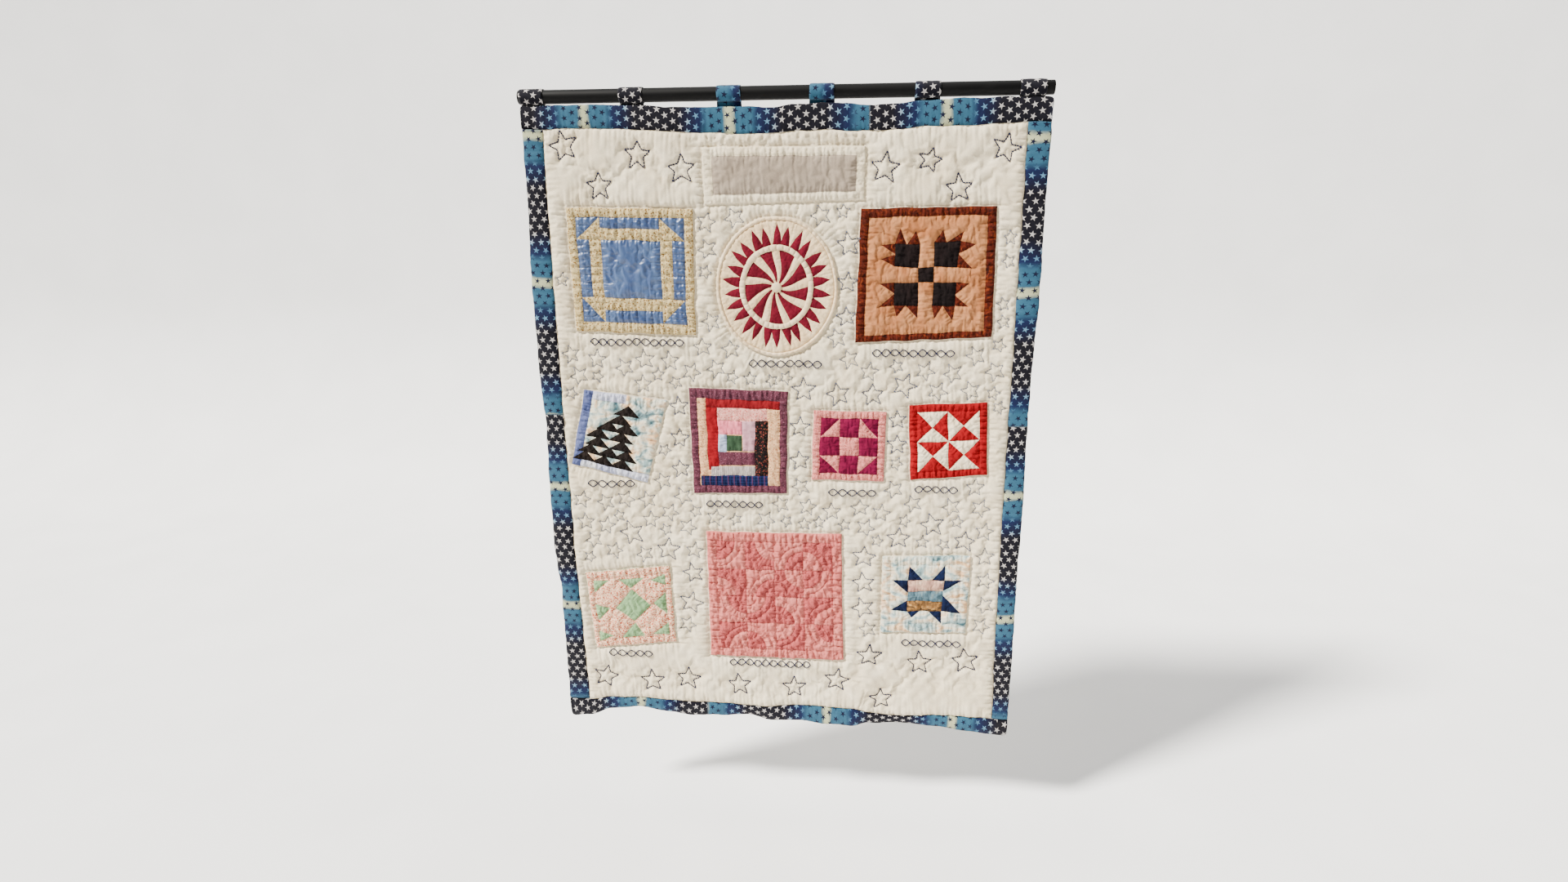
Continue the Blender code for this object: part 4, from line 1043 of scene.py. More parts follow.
def shoofly_patches():
    a, b, c, d = 0.10, 0.37, 0.635, 0.90
    patches = pieced((PALE_PINK, 0, 0, 1, 1))
    for *box, corner in ((a, a, b, b, "tl"), (c, a, d, b, "tr"), (c, c, d, d, "br"), (a, c, b, d, "bl")):
        patches += pieced((PALE_PINK, *box), (MAGENTA, *box, corner))
    return patches + pieced((MAGENTA, b, a, c, b), (MAGENTA, a, b, b, c), (MAGENTA, c, b, d, c),
                            (MAGENTA, b, c, c, d), (PALE_PINK, b, b, c, c))


def bow_tie_patches():
    low, mid = 0.10, 0.50
    patches = pieced((SCARLET, 0, 0, 1, 1))
    for left, top, first in ((low, low, 0), (mid, low, 1), (low, mid, 1), (mid, mid, 0)):
        right = left + mid - low
        base = top + mid - low
        centre = ((left + right) / 2, (top + base) / 2)
        ends = box_patch(left, top, right, base)
        patches.append((SCARLET, ends))
        patches += cut(BOW_CREAM, [(ends[side], ends[(side + 1) % 4], centre)
                                   for side in (first, first + 2)])
    return patches


BRITCHES_PATCHES = (
    ((0.530, 0.255), (0.735, 0.490), (0.511, 0.680), (0.306, 0.497)),
    ((0.076, 0.112), (0.270, 0.121), (0.071, 0.270)), ((0.371, 0.118), (0.684, 0.123), (0.514, 0.245)),
    ((0.755, 0.160), (0.939, 0.094), (0.940, 0.236)), ((0.066, 0.417), (0.244, 0.482), (0.072, 0.636)),
    ((0.926, 0.328), (0.921, 0.618), (0.762, 0.469)), ((0.057, 0.780), (0.244, 0.866), (0.055, 0.914)),
    ((0.333, 0.895), (0.627, 0.887), (0.522, 0.703)), ((0.720, 0.878), (0.934, 0.722), (0.933, 0.895)),
)


def britches_patches():
    patches = pieced((CORAL_CALICO, 0, 0, 1, 1), (CORAL_CALICO, 0.065, 0.09, 0.935, 0.905))
    return patches + cut(MINT, BRITCHES_PATCHES)


CURVE_CORNERS = ((0, 1, 2, 3), (3, 2, 1, 0), (1, 0, 3, 2), (2, 3, 0, 1))
CURVE_EDGE = 0.07
CURVE_SIZE = (1.0 - 2 * CURVE_EDGE) / 4
CURVE_REACH = 0.66
ECHO_REACHES = (0.36, 0.88)


def curve_squares():
    """Each square's row and column, with its curve's middle and the angle where that starts."""
    for row, corners in enumerate(CURVE_CORNERS):
        for column, corner in enumerate(corners):
            start = (0.0, 0.5, 1.0, 1.5)[corner] * math.pi
            yield row, column, corner in (1, 2), corner in (2, 3), start


def curves_patches():
    """Squares with a quarter circle let into one corner, light and dark by turns."""
    patches = pieced((ROSE, 0, 0, 1, 1))
    for row, column, at_right, at_low, start in curve_squares():
        left = CURVE_EDGE + column * CURVE_SIZE
        top = CURVE_EDGE + row * CURVE_SIZE
        ground, arc = (ROSE, DEEP_ROSE) if (row + column) % 2 == 0 else (DEEP_ROSE, ROSE)
        patches += pieced((ground, left, top, left + CURVE_SIZE, top + CURVE_SIZE))
        x = left + CURVE_SIZE * at_right
        y = top + CURVE_SIZE * at_low
        quarter = [(x, y)]
        for i in range(11):
            angle = start + i * math.pi / 20
            quarter.append((x + CURVE_REACH * CURVE_SIZE * math.cos(angle),
                            y + CURVE_REACH * CURVE_SIZE * math.sin(angle)))
        patches.append((arc, quarter))
    return patches


def curves_quilting():
    """Lines across the block's border and echo lines beside the curved seams."""
    lines = border_ladder(CURVE_EDGE, 20)
    for row, column, at_right, at_low, start in curve_squares():
        x = CURVE_EDGE + (column + at_right) * CURVE_SIZE
        y = CURVE_EDGE + (row + at_low) * CURVE_SIZE
        for reach in ECHO_REACHES:
            arc = []
            for i in range(9):
                angle = start + (0.03 + 0.44 * i / 8) * math.pi
                arc.append((x + reach * CURVE_SIZE * math.cos(angle),
                            y + reach * CURVE_SIZE * math.sin(angle)))
            lines.append(arc)
    return lines


STAR_POINTS = (
    ((0.311, 0.124), (0.479, 0.312), (0.297, 0.306)), ((0.723, 0.112), (0.718, 0.314), (0.576, 0.313)),
    ((0.123, 0.312), (0.297, 0.306), (0.299, 0.472)), ((0.118, 0.703), (0.301, 0.569), (0.304, 0.715)),
    ((0.304, 0.715), (0.454, 0.712), (0.353, 0.797)), ((0.555, 0.710), (0.694, 0.706), (0.706, 0.875)),
    ((0.718, 0.314), (0.933, 0.310), (0.709, 0.442)), ((0.705, 0.497), (0.933, 0.744), (0.694, 0.706)),
)


def star_patches():
    patches = pieced((SKY, 0, 0, 1, 1), (SKY, 0.10, 0.11, 0.90, 0.88)) + cut(NAVY, STAR_POINTS)
    patches.append((DUSK, [(0.297, 0.306), (0.718, 0.314), (0.709, 0.446), (0.299, 0.455)]))
    patches.append((LAKE, [(0.299, 0.455), (0.709, 0.446), (0.703, 0.583), (0.301, 0.577)]))
    patches.append((AMBER, [(0.301, 0.577), (0.703, 0.583), (0.694, 0.706), (0.304, 0.715)]))
    return patches


def label_patches():
    return pieced((CREAM, 0, 0, 1, 1), (LABEL, 0.055, 0.16, 0.945, 0.84))


def ladder(start, end, reach, count):
    """Short sewn lines across a bar, from one of its sides by a reach."""
    lines = []
    for i in range(1, count):
        t = i / count
        base = (start[0] + (end[0] - start[0]) * t, start[1] + (end[1] - start[1]) * t)
        lean = 0.012 * math.sin(7.0 * i + 5.0 * start[0])
        lines.append([base, (base[0] + reach[0] + lean, base[1] + reach[1] + lean)])
    return lines


def border_ladder(width, count):
    """Short sewn lines across the four sides of a block's border."""
    far = 1.0 - width
    lines = ladder((0.01, 0.005), (0.99, 0.005), (0.0, width), count)
    lines += ladder((0.01, 0.995), (0.99, 0.995), (0.0, -width), count)
    lines += ladder((0.005, 0.01), (0.005, 0.99), (width, 0.0), count)
    lines += ladder((0.995, 0.01), (0.995, 0.99), (far - 0.995, 0.0), count)
    return lines


# Each block's patches and quilting, its slot, how slack it is and how fine its mesh is
Dress = namedtuple("Dress", "patches slot quilting slack pitch")
DRESSES = {
    "label_panel": Dress(label_patches(), "label_cloth", border_ladder(0.05, 26), 0.02, 0.0030),
    "block_churn_dash": Dress(churn_dash_patches(), "blue_patchwork", border_ladder(0.24, 17), 0.03, 0.0026),
    "block_paw": Dress(paw_patches(), "brown_patchwork", border_ladder(0.07, 18), 0.04, 0.0026),
    "block_geese": Dress(geese_patches(), "sky_patchwork", border_ladder(0.10, 12), 0.03, 0.0024),
    "block_cabin": Dress(cabin_patches(), "mauve_patchwork", border_ladder(0.08, 16), 0.04, 0.0024),
    "block_shoofly": Dress(shoofly_patches(), "plum_patchwork", border_ladder(0.09, 12), 0.03, 0.0022),
    "block_bow_tie": Dress(bow_tie_patches(), "red_patchwork", border_ladder(0.09, 12), 0.03, 0.0022),
    "block_britches": Dress(britches_patches(), "pink_patchwork", border_ladder(0.09, 14), 0.04, 0.0024),
    "block_curves": Dress(curves_patches(), "rose_patchwork", curves_quilting(), 0.09, 0.0026),
    "block_star": Dress(star_patches(), "mottled_patchwork", border_ladder(0.10, 12), 0.03, 0.0024),
}

EDGE_HEIGHT = 0.0008
PUFF_HEIGHT = 0.0043
EDGE_REACH = 0.0035
LEAST_HEIGHT = 0.0004
# Puckers: their height, how far apart they are and how far they run from the line
EDGE_PUCKERS = (0.0019, 0.014, 0.016)
PANEL_BACK = -0.0012
PATCH_SEAM = Seam(0.0024, 0.0030, 0.0014, 0.012, 0.011)
QUILT_SEAM = Seam(0.0024, 0.0030, 0.0006, 0.009, 0.008)
BLOCK_CAP = 0.0050


def unique_sides(polygons):
    """Every side of the polygons once, as short lines."""
    sides = {}
    for polygon in polygons:
        corners = [tuple(round(float(c), 5) for c in corner) for corner in polygon]
        for a, b in zip(corners, corners[1:] + corners[:1]):
            sides[tuple(sorted((a, b)))] = [a, b]
    return list(sides.values())


def block_piece(block, dress):
    """One padded block: its patches, sewn lines and puckers, settled as cloth."""
    pitch = dress.pitch
    outline = counterclockwise(walk(corners_of(block), pitch))
    shapes = [(mat, on_block(block, polygon)) for mat, polygon in dress.patches]
    sides = unique_sides([shape for _, shape in shapes[1:]])
    seams = walked(sides, pitch)
    quilted = walked([on_block(block, line) for line in dress.quilting], pitch)
    fill = hex_points(outline, pitch, pitch * 0.12, len(block.name))
    fill = away_from(fill, [outline] + seams + quilted, pitch * 0.55)
    flat, faces, rim, sewn = triangulated([outline], seams + quilted, fill)

    far, arc = near_lines(flat, [outline])
    depth = EDGE_HEIGHT + (PUFF_HEIGHT - EDGE_HEIGHT) * (1.0 - np.exp(-far / EDGE_REACH))
    depth += puckers(far, arc, *EDGE_PUCKERS)
    depth = drawn_in(depth, flat, sides, PATCH_SEAM)
    depth = drawn_in(depth, flat, quilted, QUILT_SEAM)
    depth += (0.0004 + 0.014 * dress.slack) * ripple(flat[:, 0], flat[:, 1], 0.021, 11)
    front = place(flat[:, 0], flat[:, 1], np.maximum(depth, LEAST_HEIGHT))
    front = settled(front, faces, sewn, dress.slack * 1.4, 0.9, BLOCK_CAP)

    middles = flat[faces].mean(axis=1)
    materials = []
    slots = np.zeros(len(faces), int)
    for mat, shape in shapes:
        if mat not in materials:
            materials.append(mat)
        slots[inside_many(middles, shape)] = materials.index(mat)
    short = block.name.replace("block_", "").replace("_panel", "")
    obj = closed_cloth("quilted_" + short, front, faces, rim, PANEL_BACK, materials, slots)
    return ride_root(obj, block.name)


# The field

FIELD_PITCH = 0.0042
FIELD_LINE_PITCH = 0.0040
BACKING_PITCH = 0.008
FIELD_TOP = 0.0010
FIELD_VALLEY = 0.0042
LABEL_SEAM = Seam(0.0022, 0.004, 0.0004, 0.012, 0.008)
STAR_PUCKERS = (0.0007, 0.012, 0.009)
BLOCK_PUCKERS = (0.0022, 0.015, 0.024)
BACK_PUCKERS = (0.0006, 0.016, 0.014)
FIELD_SLACK = 0.055
FIELD_CAP = 0.0045
UNDER_BLOCK = -0.0014
FIELD_BACK = -0.0052
BACK_TOP = 0.0081
BACK_FRONT = -0.0053
OUTLINES = [walk(grown(corners_of(block), VALLEY_REACH), 0.004) for block in BLOCKS]
OUTLINES.append(oval(1.0, RIM_WIDTH + VALLEY_REACH, 230))
FILLERS = filling_stars(OUTLINES)
ALL_STARS = DARK_STARS + GREY_STARS + FILLERS
TOP_ROW = SIDE_EDGES[0]
LOW_ROW = SIDE_EDGES[-2]


def field_outline(pitch):
    """The ground's edge, counterclockwise."""
    left_top = float(inner_left(inner_top(TOP_ROW.inner_left)))
    right_top = float(inner_right(inner_top(TOP_ROW.inner_right)))
    left_low = float(inner_left(inner_bottom(LOW_ROW.inner_left)))
    right_low = float(inner_right(inner_bottom(LOW_ROW.inner_right)))
    top_x = np.arange(right_top, left_top, -pitch)
    low_x = np.arange(left_low, right_low, pitch)
    left_z = np.arange(inner_top(left_top), inner_bottom(left_low), -pitch)
    right_z = np.arange(inner_bottom(right_low), inner_top(right_top), pitch)
    low = np.stack([low_x, inner_bottom(low_x)], axis=1)
    right = np.stack([inner_right(right_z), right_z], axis=1)
    top = np.stack([top_x, inner_top(top_x)], axis=1)
    left = np.stack([inner_left(left_z), left_z], axis=1)
    return np.concatenate([low, right, top, left])


def label_lines():
    """Upright sewn lines above and below the label."""
    lines = []
    for i in range(19):
        x = -0.196 + 0.0222 * i + 0.003 * math.sin(2.1 * i)
        lines.append([(x, -0.098), (x + 0.002 * math.sin(i), -0.112)])
        if i % 2:
            lines.append([(x, -0.253), (x + 0.003 * math.sin(i), -0.268)])
    return lines


def field_height(flat, stars, edges):
    """Height of the padded field between its sewn stars, block edges and short lines."""
    far, arc = near_lines(flat, stars)
    edge_far, edge_arc = near_lines(flat, edges)
    height = FIELD_TOP - FIELD_VALLEY * np.exp(-(np.minimum(far, edge_far) / 0.0046) ** 0.9)
    height += puckers(far, arc, *STAR_PUCKERS)
    height += puckers(edge_far, edge_arc, *BLOCK_PUCKERS)
    height = drawn_in(height, flat, label_lines(), LABEL_SEAM)
    height += 0.0009 * ripple(flat[:, 0], flat[:, 1], 0.055, 21)
    return height + 0.0005 * ripple(flat[:, 0], flat[:, 1], 0.022, 22)


def quilt_top():
    """The cream field with its quilted stars."""
    outline = field_outline(FIELD_PITCH)
    stars = [walk(star_outline(star), FIELD_LINE_PITCH) for star in ALL_STARS]
    extra = walked(label_lines(), FIELD_LINE_PITCH)
    rows = OUTLINES + stars
    fill = hex_points(outline, 0.0040, 0.0006, 5)
    sparse = hex_points(outline, 0.014, 0.001, 6)
    fill = np.concatenate([fill[~under_blocks(fill, -0.004)], sparse[under_blocks(sparse, -0.010)]])
    fill = away_from(fill, [outline] + rows + extra, 0.0022)
    flat, faces, rim, sewn = triangulated([outline] + rows, extra, fill)
    depth = field_height(flat, stars, [outline] + OUTLINES)
    covered = under_blocks(flat, 0.001)
    depth[covered] = UNDER_BLOCK
    front = place(flat[:, 0], flat[:, 1], depth)
    front = settled(front, faces, sewn | covered, FIELD_SLACK, 0.6, FIELD_CAP)
    obj = closed_cloth("quilt_top", front, faces, rim, FIELD_BACK, [CREAM], [0] * len(faces))
    return ride_root(obj, "ground")


def backing():
    """The plain cloth behind the padding, drawn in along the same quilting."""
    outline = field_outline(BACKING_PITCH)
    stars = [walk(star_outline(star), 0.0070) for star in ALL_STARS]
    rows = [line[::2] for line in OUTLINES] + stars
    fill = away_from(hex_points(outline, 0.0085, 0.001, 8), [outline] + rows, 0.0040)
    flat, faces, rim, _ = triangulated([outline] + rows, [], fill)
    far, arc = near_lines(flat, [outline] + rows)
    bulge = BACK_TOP - 0.0026 * np.exp(-far / 0.006) + puckers(far, arc, *BACK_PUCKERS)
    back = place(flat[:, 0], flat[:, 1], -np.minimum(bulge, BACK_TOP))
    obj = closed_cloth("backing", back, faces, rim, BACK_FRONT, [BACKING], [0] * len(faces), turned=True)
    return ride_root(obj, None)


# The border strips

FRONT_ROWS = 17
STRIP_PITCH = 0.0032
# Round the strip's outer edge and along its back: a share of its width, and a depth
BACK_PROFILE = ((1.012, -0.0042), (1.006, -0.0058), (0.985, -0.0070), (0.94, -0.0077),
                (0.86, -0.0080), (0.80, -0.0078), (0.45, -0.0081), (0.0, -0.0076))
EDGE_ROWS = 4
INNER_EDGE_DEPTH = -0.0026
INNER_PUCKERS = (0.0011, 0.017, 0.018)
OUTER_PUCKERS = (0.0009, 0.021, 0.014)
# A pale stripe's place, the seam between two lengths, and a pale stripe's place beyond it
TOP_BANDS = (-0.466, 0.210, 0.386)
BOTTOM_BANDS = (-0.410, -0.216, 0.123)
LEFT_BANDS = (0.085, 0.777, 0.973)
RIGHT_BANDS = (0.107, 0.790, 0.970)


def strip_depth(near_in, near_out, arc, cut_far, spot):
    """Depths along a border strip at a distance from its inner and outer edges."""
    depth = 0.0016 - 0.0036 * np.exp(-near_in / 0.006) - 0.0042 * math.exp(-near_out / 0.0045)
    depth += puckers(np.full(len(arc), near_in), arc, *INNER_PUCKERS)
    depth += puckers(np.full(len(arc), near_out), arc + 0.3, *OUTER_PUCKERS)
    depth -= 0.0014 * np.exp(-cut_far / 0.006)
    depth += 0.0006 * ripple(spot[:, 0], spot[:, 1], 0.035, 31)
    return depth * min(1.0, 0.35 + near_out / 0.01)


def strip_piece(name, node, inner, outer, along, bands):
    """A padded strip between two edge lines, pieced from lengths of the banded print."""
    count = len(inner)
    arc = arc_along((inner + outer) / 2)
    verts = []
    uvs = []
    profile = [(share, None) for share in np.linspace(0.0, 1.0, FRONT_ROWS)] + list(BACK_PROFILE)
    width = np.hypot(*(outer - inner).T).mean()
    first, seam, second = bands
    printed = np.where(along < seam, along - first, along - second)
    for share, fixed in profile:
        spot = inner + (outer - inner) * share
        shown = share
        if share == 0.0 and fixed is None:
            depth = np.full(count, INNER_EDGE_DEPTH)
        elif fixed is None:
            depth = strip_depth(share * width, (1.0 - share) * width, arc, np.abs(along - seam), spot)
        else:
            depth = np.full(count, fixed)
            shown = min(share, 1.0) + (1.0 - min(share, 1.0)) + 0.1
        edge = 0.0008 * ripple(spot[:, 0], spot[:, 1], 0.028, 32) * share
        spot = spot - (outer - inner) / width * np.abs(edge)[:, None]
        verts.append(place(spot[:, 0], spot[:, 1], depth))
        uvs.append(np.stack([printed, np.full(count, shown * width)], axis=1))
    rows = len(profile)
    faces = skin(rows, count, True, False)
    slots = [int(row >= FRONT_ROWS + EDGE_ROWS) for row in range(rows) for _ in range(count - 1)] + [0, 0]
    faces.append([row * count for row in reversed(range(rows))])
    faces.append([row * count + count - 1 for row in range(rows)])
    obj = mesh_object(name, np.concatenate(verts), faces, [BORDER, BACKING], slots, np.concatenate(uvs))
    close_up(obj)
    return ride_root(obj, node)


def corner_inset(aside):
    """How far a rounded corner draws the long edge in, near the strip's end."""
    inset = CORNER_ROUND - np.sqrt(np.maximum(0.0, CORNER_ROUND ** 2 - (CORNER_ROUND - aside) ** 2))
    return np.where(aside >= CORNER_ROUND, 0.0, inset)


def long_strip(name, node, inner_at, outer_at, sign, z_end, bands):
    """The top or bottom strip, which runs across the quilt's whole width."""
    left = float(outer_left(z_end))
    right = float(outer_right(z_end))
    x = np.concatenate([left + np.array([0.0, 0.0008, 0.0022, 0.0045]),
                        np.arange(left + 0.007, right - 0.007, STRIP_PITCH),
                        right - np.array([0.0045, 0.0022, 0.0008, 0.0])])
    ends = LOW_ROW if sign < 0 else TOP_ROW
    held = np.clip(x, ends.inner_left, ends.inner_right)
    inner = np.stack([x, inner_at(held) + sign * GAP], axis=1)
    inset = corner_inset(np.minimum(x - left, right - x))
    outer = np.stack([x, outer_at(x) - sign * inset], axis=1)
    return strip_piece(name, node, inner, outer, x, bands)


def side_strip(name, node, inner_at, outer_at, sign, bands):
    x_top = float(inner_at(-0.08))
    x_low = float(inner_at(-1.62))
    z = np.arange(inner_top(x_top) - GAP, inner_bottom(x_low) + GAP, -STRIP_PITCH)
    inner = np.stack([inner_at(z) + sign * GAP, z], axis=1)
    outer = np.stack([outer_at(z), z], axis=1)
    return strip_piece(name, node, inner, outer, -z, bands)


# The tabs and the rod

# Where each tab was cut from the banded print: 0 is the pale stripe
TAB_BANDS = (0.150, 0.170, 0.055, 0.060, 0.130, 0.172)
TAIL_STEPS = 14
LOOP_STEPS = 56
TAB_STEPS = 15


def tab_path():
    """The loop's middle line from the side: y and z, then the way out of the loop there."""
    radius = ROD_RADIUS + GAP + TAB_CLOTH / 2
    neck = math.asin(TAB_CLOTH * 0.55 / radius)
    tail = np.linspace(-radius - TAB_TAIL, -radius * 1.02, TAIL_STEPS)
    path = [(TAB_CLOTH * 0.52, z, 1.0, 0.0) for z in tail]
    for angle in np.linspace(-math.pi / 2 + neck, 1.5 * math.pi - neck, LOOP_STEPS):
        y = math.cos(angle)
        z = math.sin(angle)
        path.append((radius * y, radius * z, y, z))
    path += [(-TAB_CLOTH * 0.52, z, -1.0, 0.0) for z in np.linspace(tail[-1], tail[0], TAIL_STEPS)]
    return np.array(path)


def tab_piece(number, x_middle):
    """A loop of border cloth over the rod, its two ends sewn behind the quilt's top edge."""
    path = tab_path()
    arc = arc_along(path[:, :2])
    rng = np.random.RandomState(40 + number)
    lean = rng.uniform(-0.0012, 0.0012)
    half = TAB_CLOTH * 0.46
    across = np.linspace(-1.0, 1.0, TAB_STEPS)
    ring = [(share, half) for share in across] + [(share, -half) for share in across[::-1]]
    verts = []
    uvs = []
    for share, side in ring:
        edge = 1.0 - 0.55 * abs(share) ** 8
        width = TAB_WIDTH / 2 * (1.0 - 0.02 * np.sin(arc * 40.0 + number))
        x = x_middle + share * width + lean * np.sin(arc * 25.0)
        crease = 0.00025 * np.sin(70.0 * share + 300.0 * arc) + 0.0003 * np.sin(26.0 * share + number)
        push = side * edge + (np.abs(crease) if side > 0 else 0.0) * edge
        verts.append(np.stack([x, path[:, 0] + path[:, 2] * push, path[:, 1] + path[:, 3] * push], axis=1))
        uvs.append(np.stack([share * width + TAB_BANDS[number - 1], arc + 0.01 * number], axis=1))
    count = len(arc)
    rows = len(ring)
    faces = skin(rows, count, True, False)
    faces.append([row * count for row in range(rows)])
    faces.append([row * count + count - 1 for row in reversed(range(rows))])
    obj = mesh_object(f"tab_loop_{number}", np.concatenate(verts), faces, [BORDER],
                      uvs=np.concatenate(uvs))
    close_up(obj)
    return ride_root(obj, f"tab_{number}")


ROD_STEPS = 64
ROD_END = ((0.0, 0.0), (0.0120, 0.0), (0.0146, 0.0004), (0.0156, 0.0012), (0.0160, 0.0024))


def rod_piece():
    """The round rod with softened ends."""
    left = [(-ROD_HALF_LENGTH + inset, radius) for radius, inset in ROD_END]
    spans = [(x, ROD_RADIUS) for x in np.linspace(-ROD_HALF_LENGTH + 0.02, ROD_HALF_LENGTH - 0.02, 21)]
    line = left + spans + [(-x, radius) for x, radius in reversed(left)]
    verts = []
    for x, radius in line:
        for i in range(ROD_STEPS):
            angle = 2 * math.pi * i / ROD_STEPS
            verts.append((x, radius * math.cos(angle), radius * math.sin(angle)))
    obj = mesh_object("rod_bar", verts, skin(len(line), ROD_STEPS, False, True), [BLACK_PAINT])
    close_up(obj, weld=True)
    return ride_root(obj, "rod")


# The wheel

SPIKES = 26
BLADES = 9
BLADE_TWIST = 0.34
HUB_SHARE = 0.07
SPIKE_HALF = 0.116
SPIKE_TIP = 0.935
WHEEL_PITCH = 0.0024
SPIKE_SEAM = Seam(0.0017, 0.0026, 0.0005, 0.010, 0.008)
SPOKE_SEAM = Seam(0.0010, 0.003, 0.0, 0.010, 0.008)
DISC_PUCKERS = (0.0008, 0.012, 0.012)
WHEEL_SLACK = 0.03
WHEEL_CAP = 0.0022
BUTTON_SHARE = 0.12


def wheel_point(share, angle):
    return (WHEEL_X + WHEEL_HALF_WIDTH * share * math.cos(angle),
            WHEEL_Z + WHEEL_HALF_HEIGHT * share * math.sin(angle))


def wheel_patches():
    """Narrow spikes outside the ring and twisted blades inside it."""
    patches = []
    low, high = RING_BAND
    for i in range(SPIKES):
        middle = 2 * math.pi * (i + 0.5) / SPIKES + 0.018 * math.sin(2.9 * i)
        half = SPIKE_HALF + 0.005 * math.sin(1.7 * i)
        tip = SPIKE_TIP + 0.02 * math.sin(3.3 * i)
        side = ((high - 0.03, half), (high + 0.01, half), ((high + tip) / 2, half * 0.60))
        patches.append([wheel_point(share, middle - turn) for share, turn in side]
                       + [wheel_point(tip, middle)]
                       + [wheel_point(share, middle + turn) for share, turn in reversed(side)])
    for i in range(BLADES):
        start = 2 * math.pi * i / BLADES + 0.5
        first = []
        second = []
        for k in range(9):
            t = k / 8
            share = HUB_SHARE + (low + 0.02 - HUB_SHARE) * t
            twist = BLADE_TWIST * (1.0 - t) ** 1.5
            spread = (0.38 + 0.05 * math.sin(2.1 * i)) * (0.72 + 0.28 * t)
            first.append(wheel_point(share, start - spread * 0.55 - twist))
            second.append(wheel_point(share, start + spread * 0.65 - twist))
        patches.append(first + second[::-1])
    return patches


def wheel_disc():
    """The wheel block's quilted disc, with its spikes and blades."""
    outline = oval(1.0, 0.0, 390)
    patches = [np.array(patch) for patch in wheel_patches()]
    sides = unique_sides(patches)
    seams = walked(sides, WHEEL_PITCH)
    ring = oval(sum(RING_BAND) / 2, 0.0, 260)
    spokes = []
    for i in range(SPIKES):
        angle = 2 * math.pi * i / SPIKES + 0.03 * math.sin(4.1 * i)
        spokes.append([wheel_point(0.70, angle), wheel_point(0.985, angle + 0.01)])
    quilted = walked(spokes, WHEEL_PITCH)
    fill = hex_points(outline, WHEEL_PITCH, WHEEL_PITCH * 0.12, 77)
    fill = away_from(fill, [outline] + seams + [ring] + quilted, WHEEL_PITCH * 0.55)
    flat, faces, rim, sewn = triangulated([outline, ring], seams + quilted, fill)
    far, arc = near_lines(flat, [outline, ring])
    depth = 0.0012 + 0.0028 * (1.0 - np.exp(-far / 0.004)) + puckers(far, arc, *DISC_PUCKERS)
    depth = drawn_in(depth, flat, sides, SPIKE_SEAM)
    depth = drawn_in(depth, flat, spokes, SPOKE_SEAM)
    share = np.hypot((flat[:, 0] - WHEEL_X) / WHEEL_HALF_WIDTH, (flat[:, 1] - WHEEL_Z) / WHEEL_HALF_HEIGHT)
    depth = np.where(share < BUTTON_SHARE, np.minimum(depth, 0.0018), depth)
    front = place(flat[:, 0], flat[:, 1], np.maximum(depth, 0.0006))
    front = settled(front, faces, sewn, WHEEL_SLACK, 0.8, WHEEL_CAP)
    middles = flat[faces].mean(axis=1)
    slots = np.zeros(len(faces), int)
    for patch in patches:
        slots[inside_many(middles, patch)] = 1
    obj = closed_cloth("quilted_wheel", front, faces, rim, PANEL_BACK, [WHEEL_CREAM, BURGUNDY], slots)
    return ride_root(obj, "block_wheel")


BIAS_STEPS = 330
BIAS_ROWS = 14
PINCH_PITCH = 0.0155
PINCH_DEPTH = 0.45


def bias_ring(name, node, share, extra, half_width, base, height, seed):
    """A stuffed bias strip sewn round the wheel, pinched by small stitches."""
    around = np.arange(BIAS_STEPS) * 2 * np.pi / BIAS_STEPS
    middle = oval(share, extra, BIAS_STEPS)
    arc = around * (WHEEL_HALF_WIDTH + WHEEL_HALF_HEIGHT) / 2 * share
    pinch = 0.5 + 0.5 * np.cos(2 * np.pi * arc / PINCH_PITCH + 1.3 * np.sin(around * 5 + seed))
    pinch = pinch ** 5
    normal = np.stack([np.cos(around), np.sin(around)], axis=1)
    verts = []
    for k in range(BIAS_ROWS):
        angle = math.pi * k / (BIAS_ROWS - 1)
        lift = max(0.0, math.sin(angle))
        reach = half_width * math.cos(angle) * (1.0 - 0.05 * np.sin(around * 9 + seed))
        spot = middle + normal * reach[:, None]
        depth = base + (height * (1.0 - PINCH_DEPTH * pinch)) * lift ** 0.8
        depth += 0.0002 * lift * ripple(spot[:, 0], spot[:, 1], 0.012, seed)
        verts.append(place(spot[:, 0], spot[:, 1], depth))
    obj = mesh_object(name, np.concatenate(verts), skin(BIAS_ROWS, BIAS_STEPS, True, True), [BIAS_CREAM])
    close_up(obj)
    return ride_root(obj, node)


BUTTON_STEPS = 72
BUTTON_ROWS = 16
BUTTON_BASE = FRONT_PLANE - 0.0016


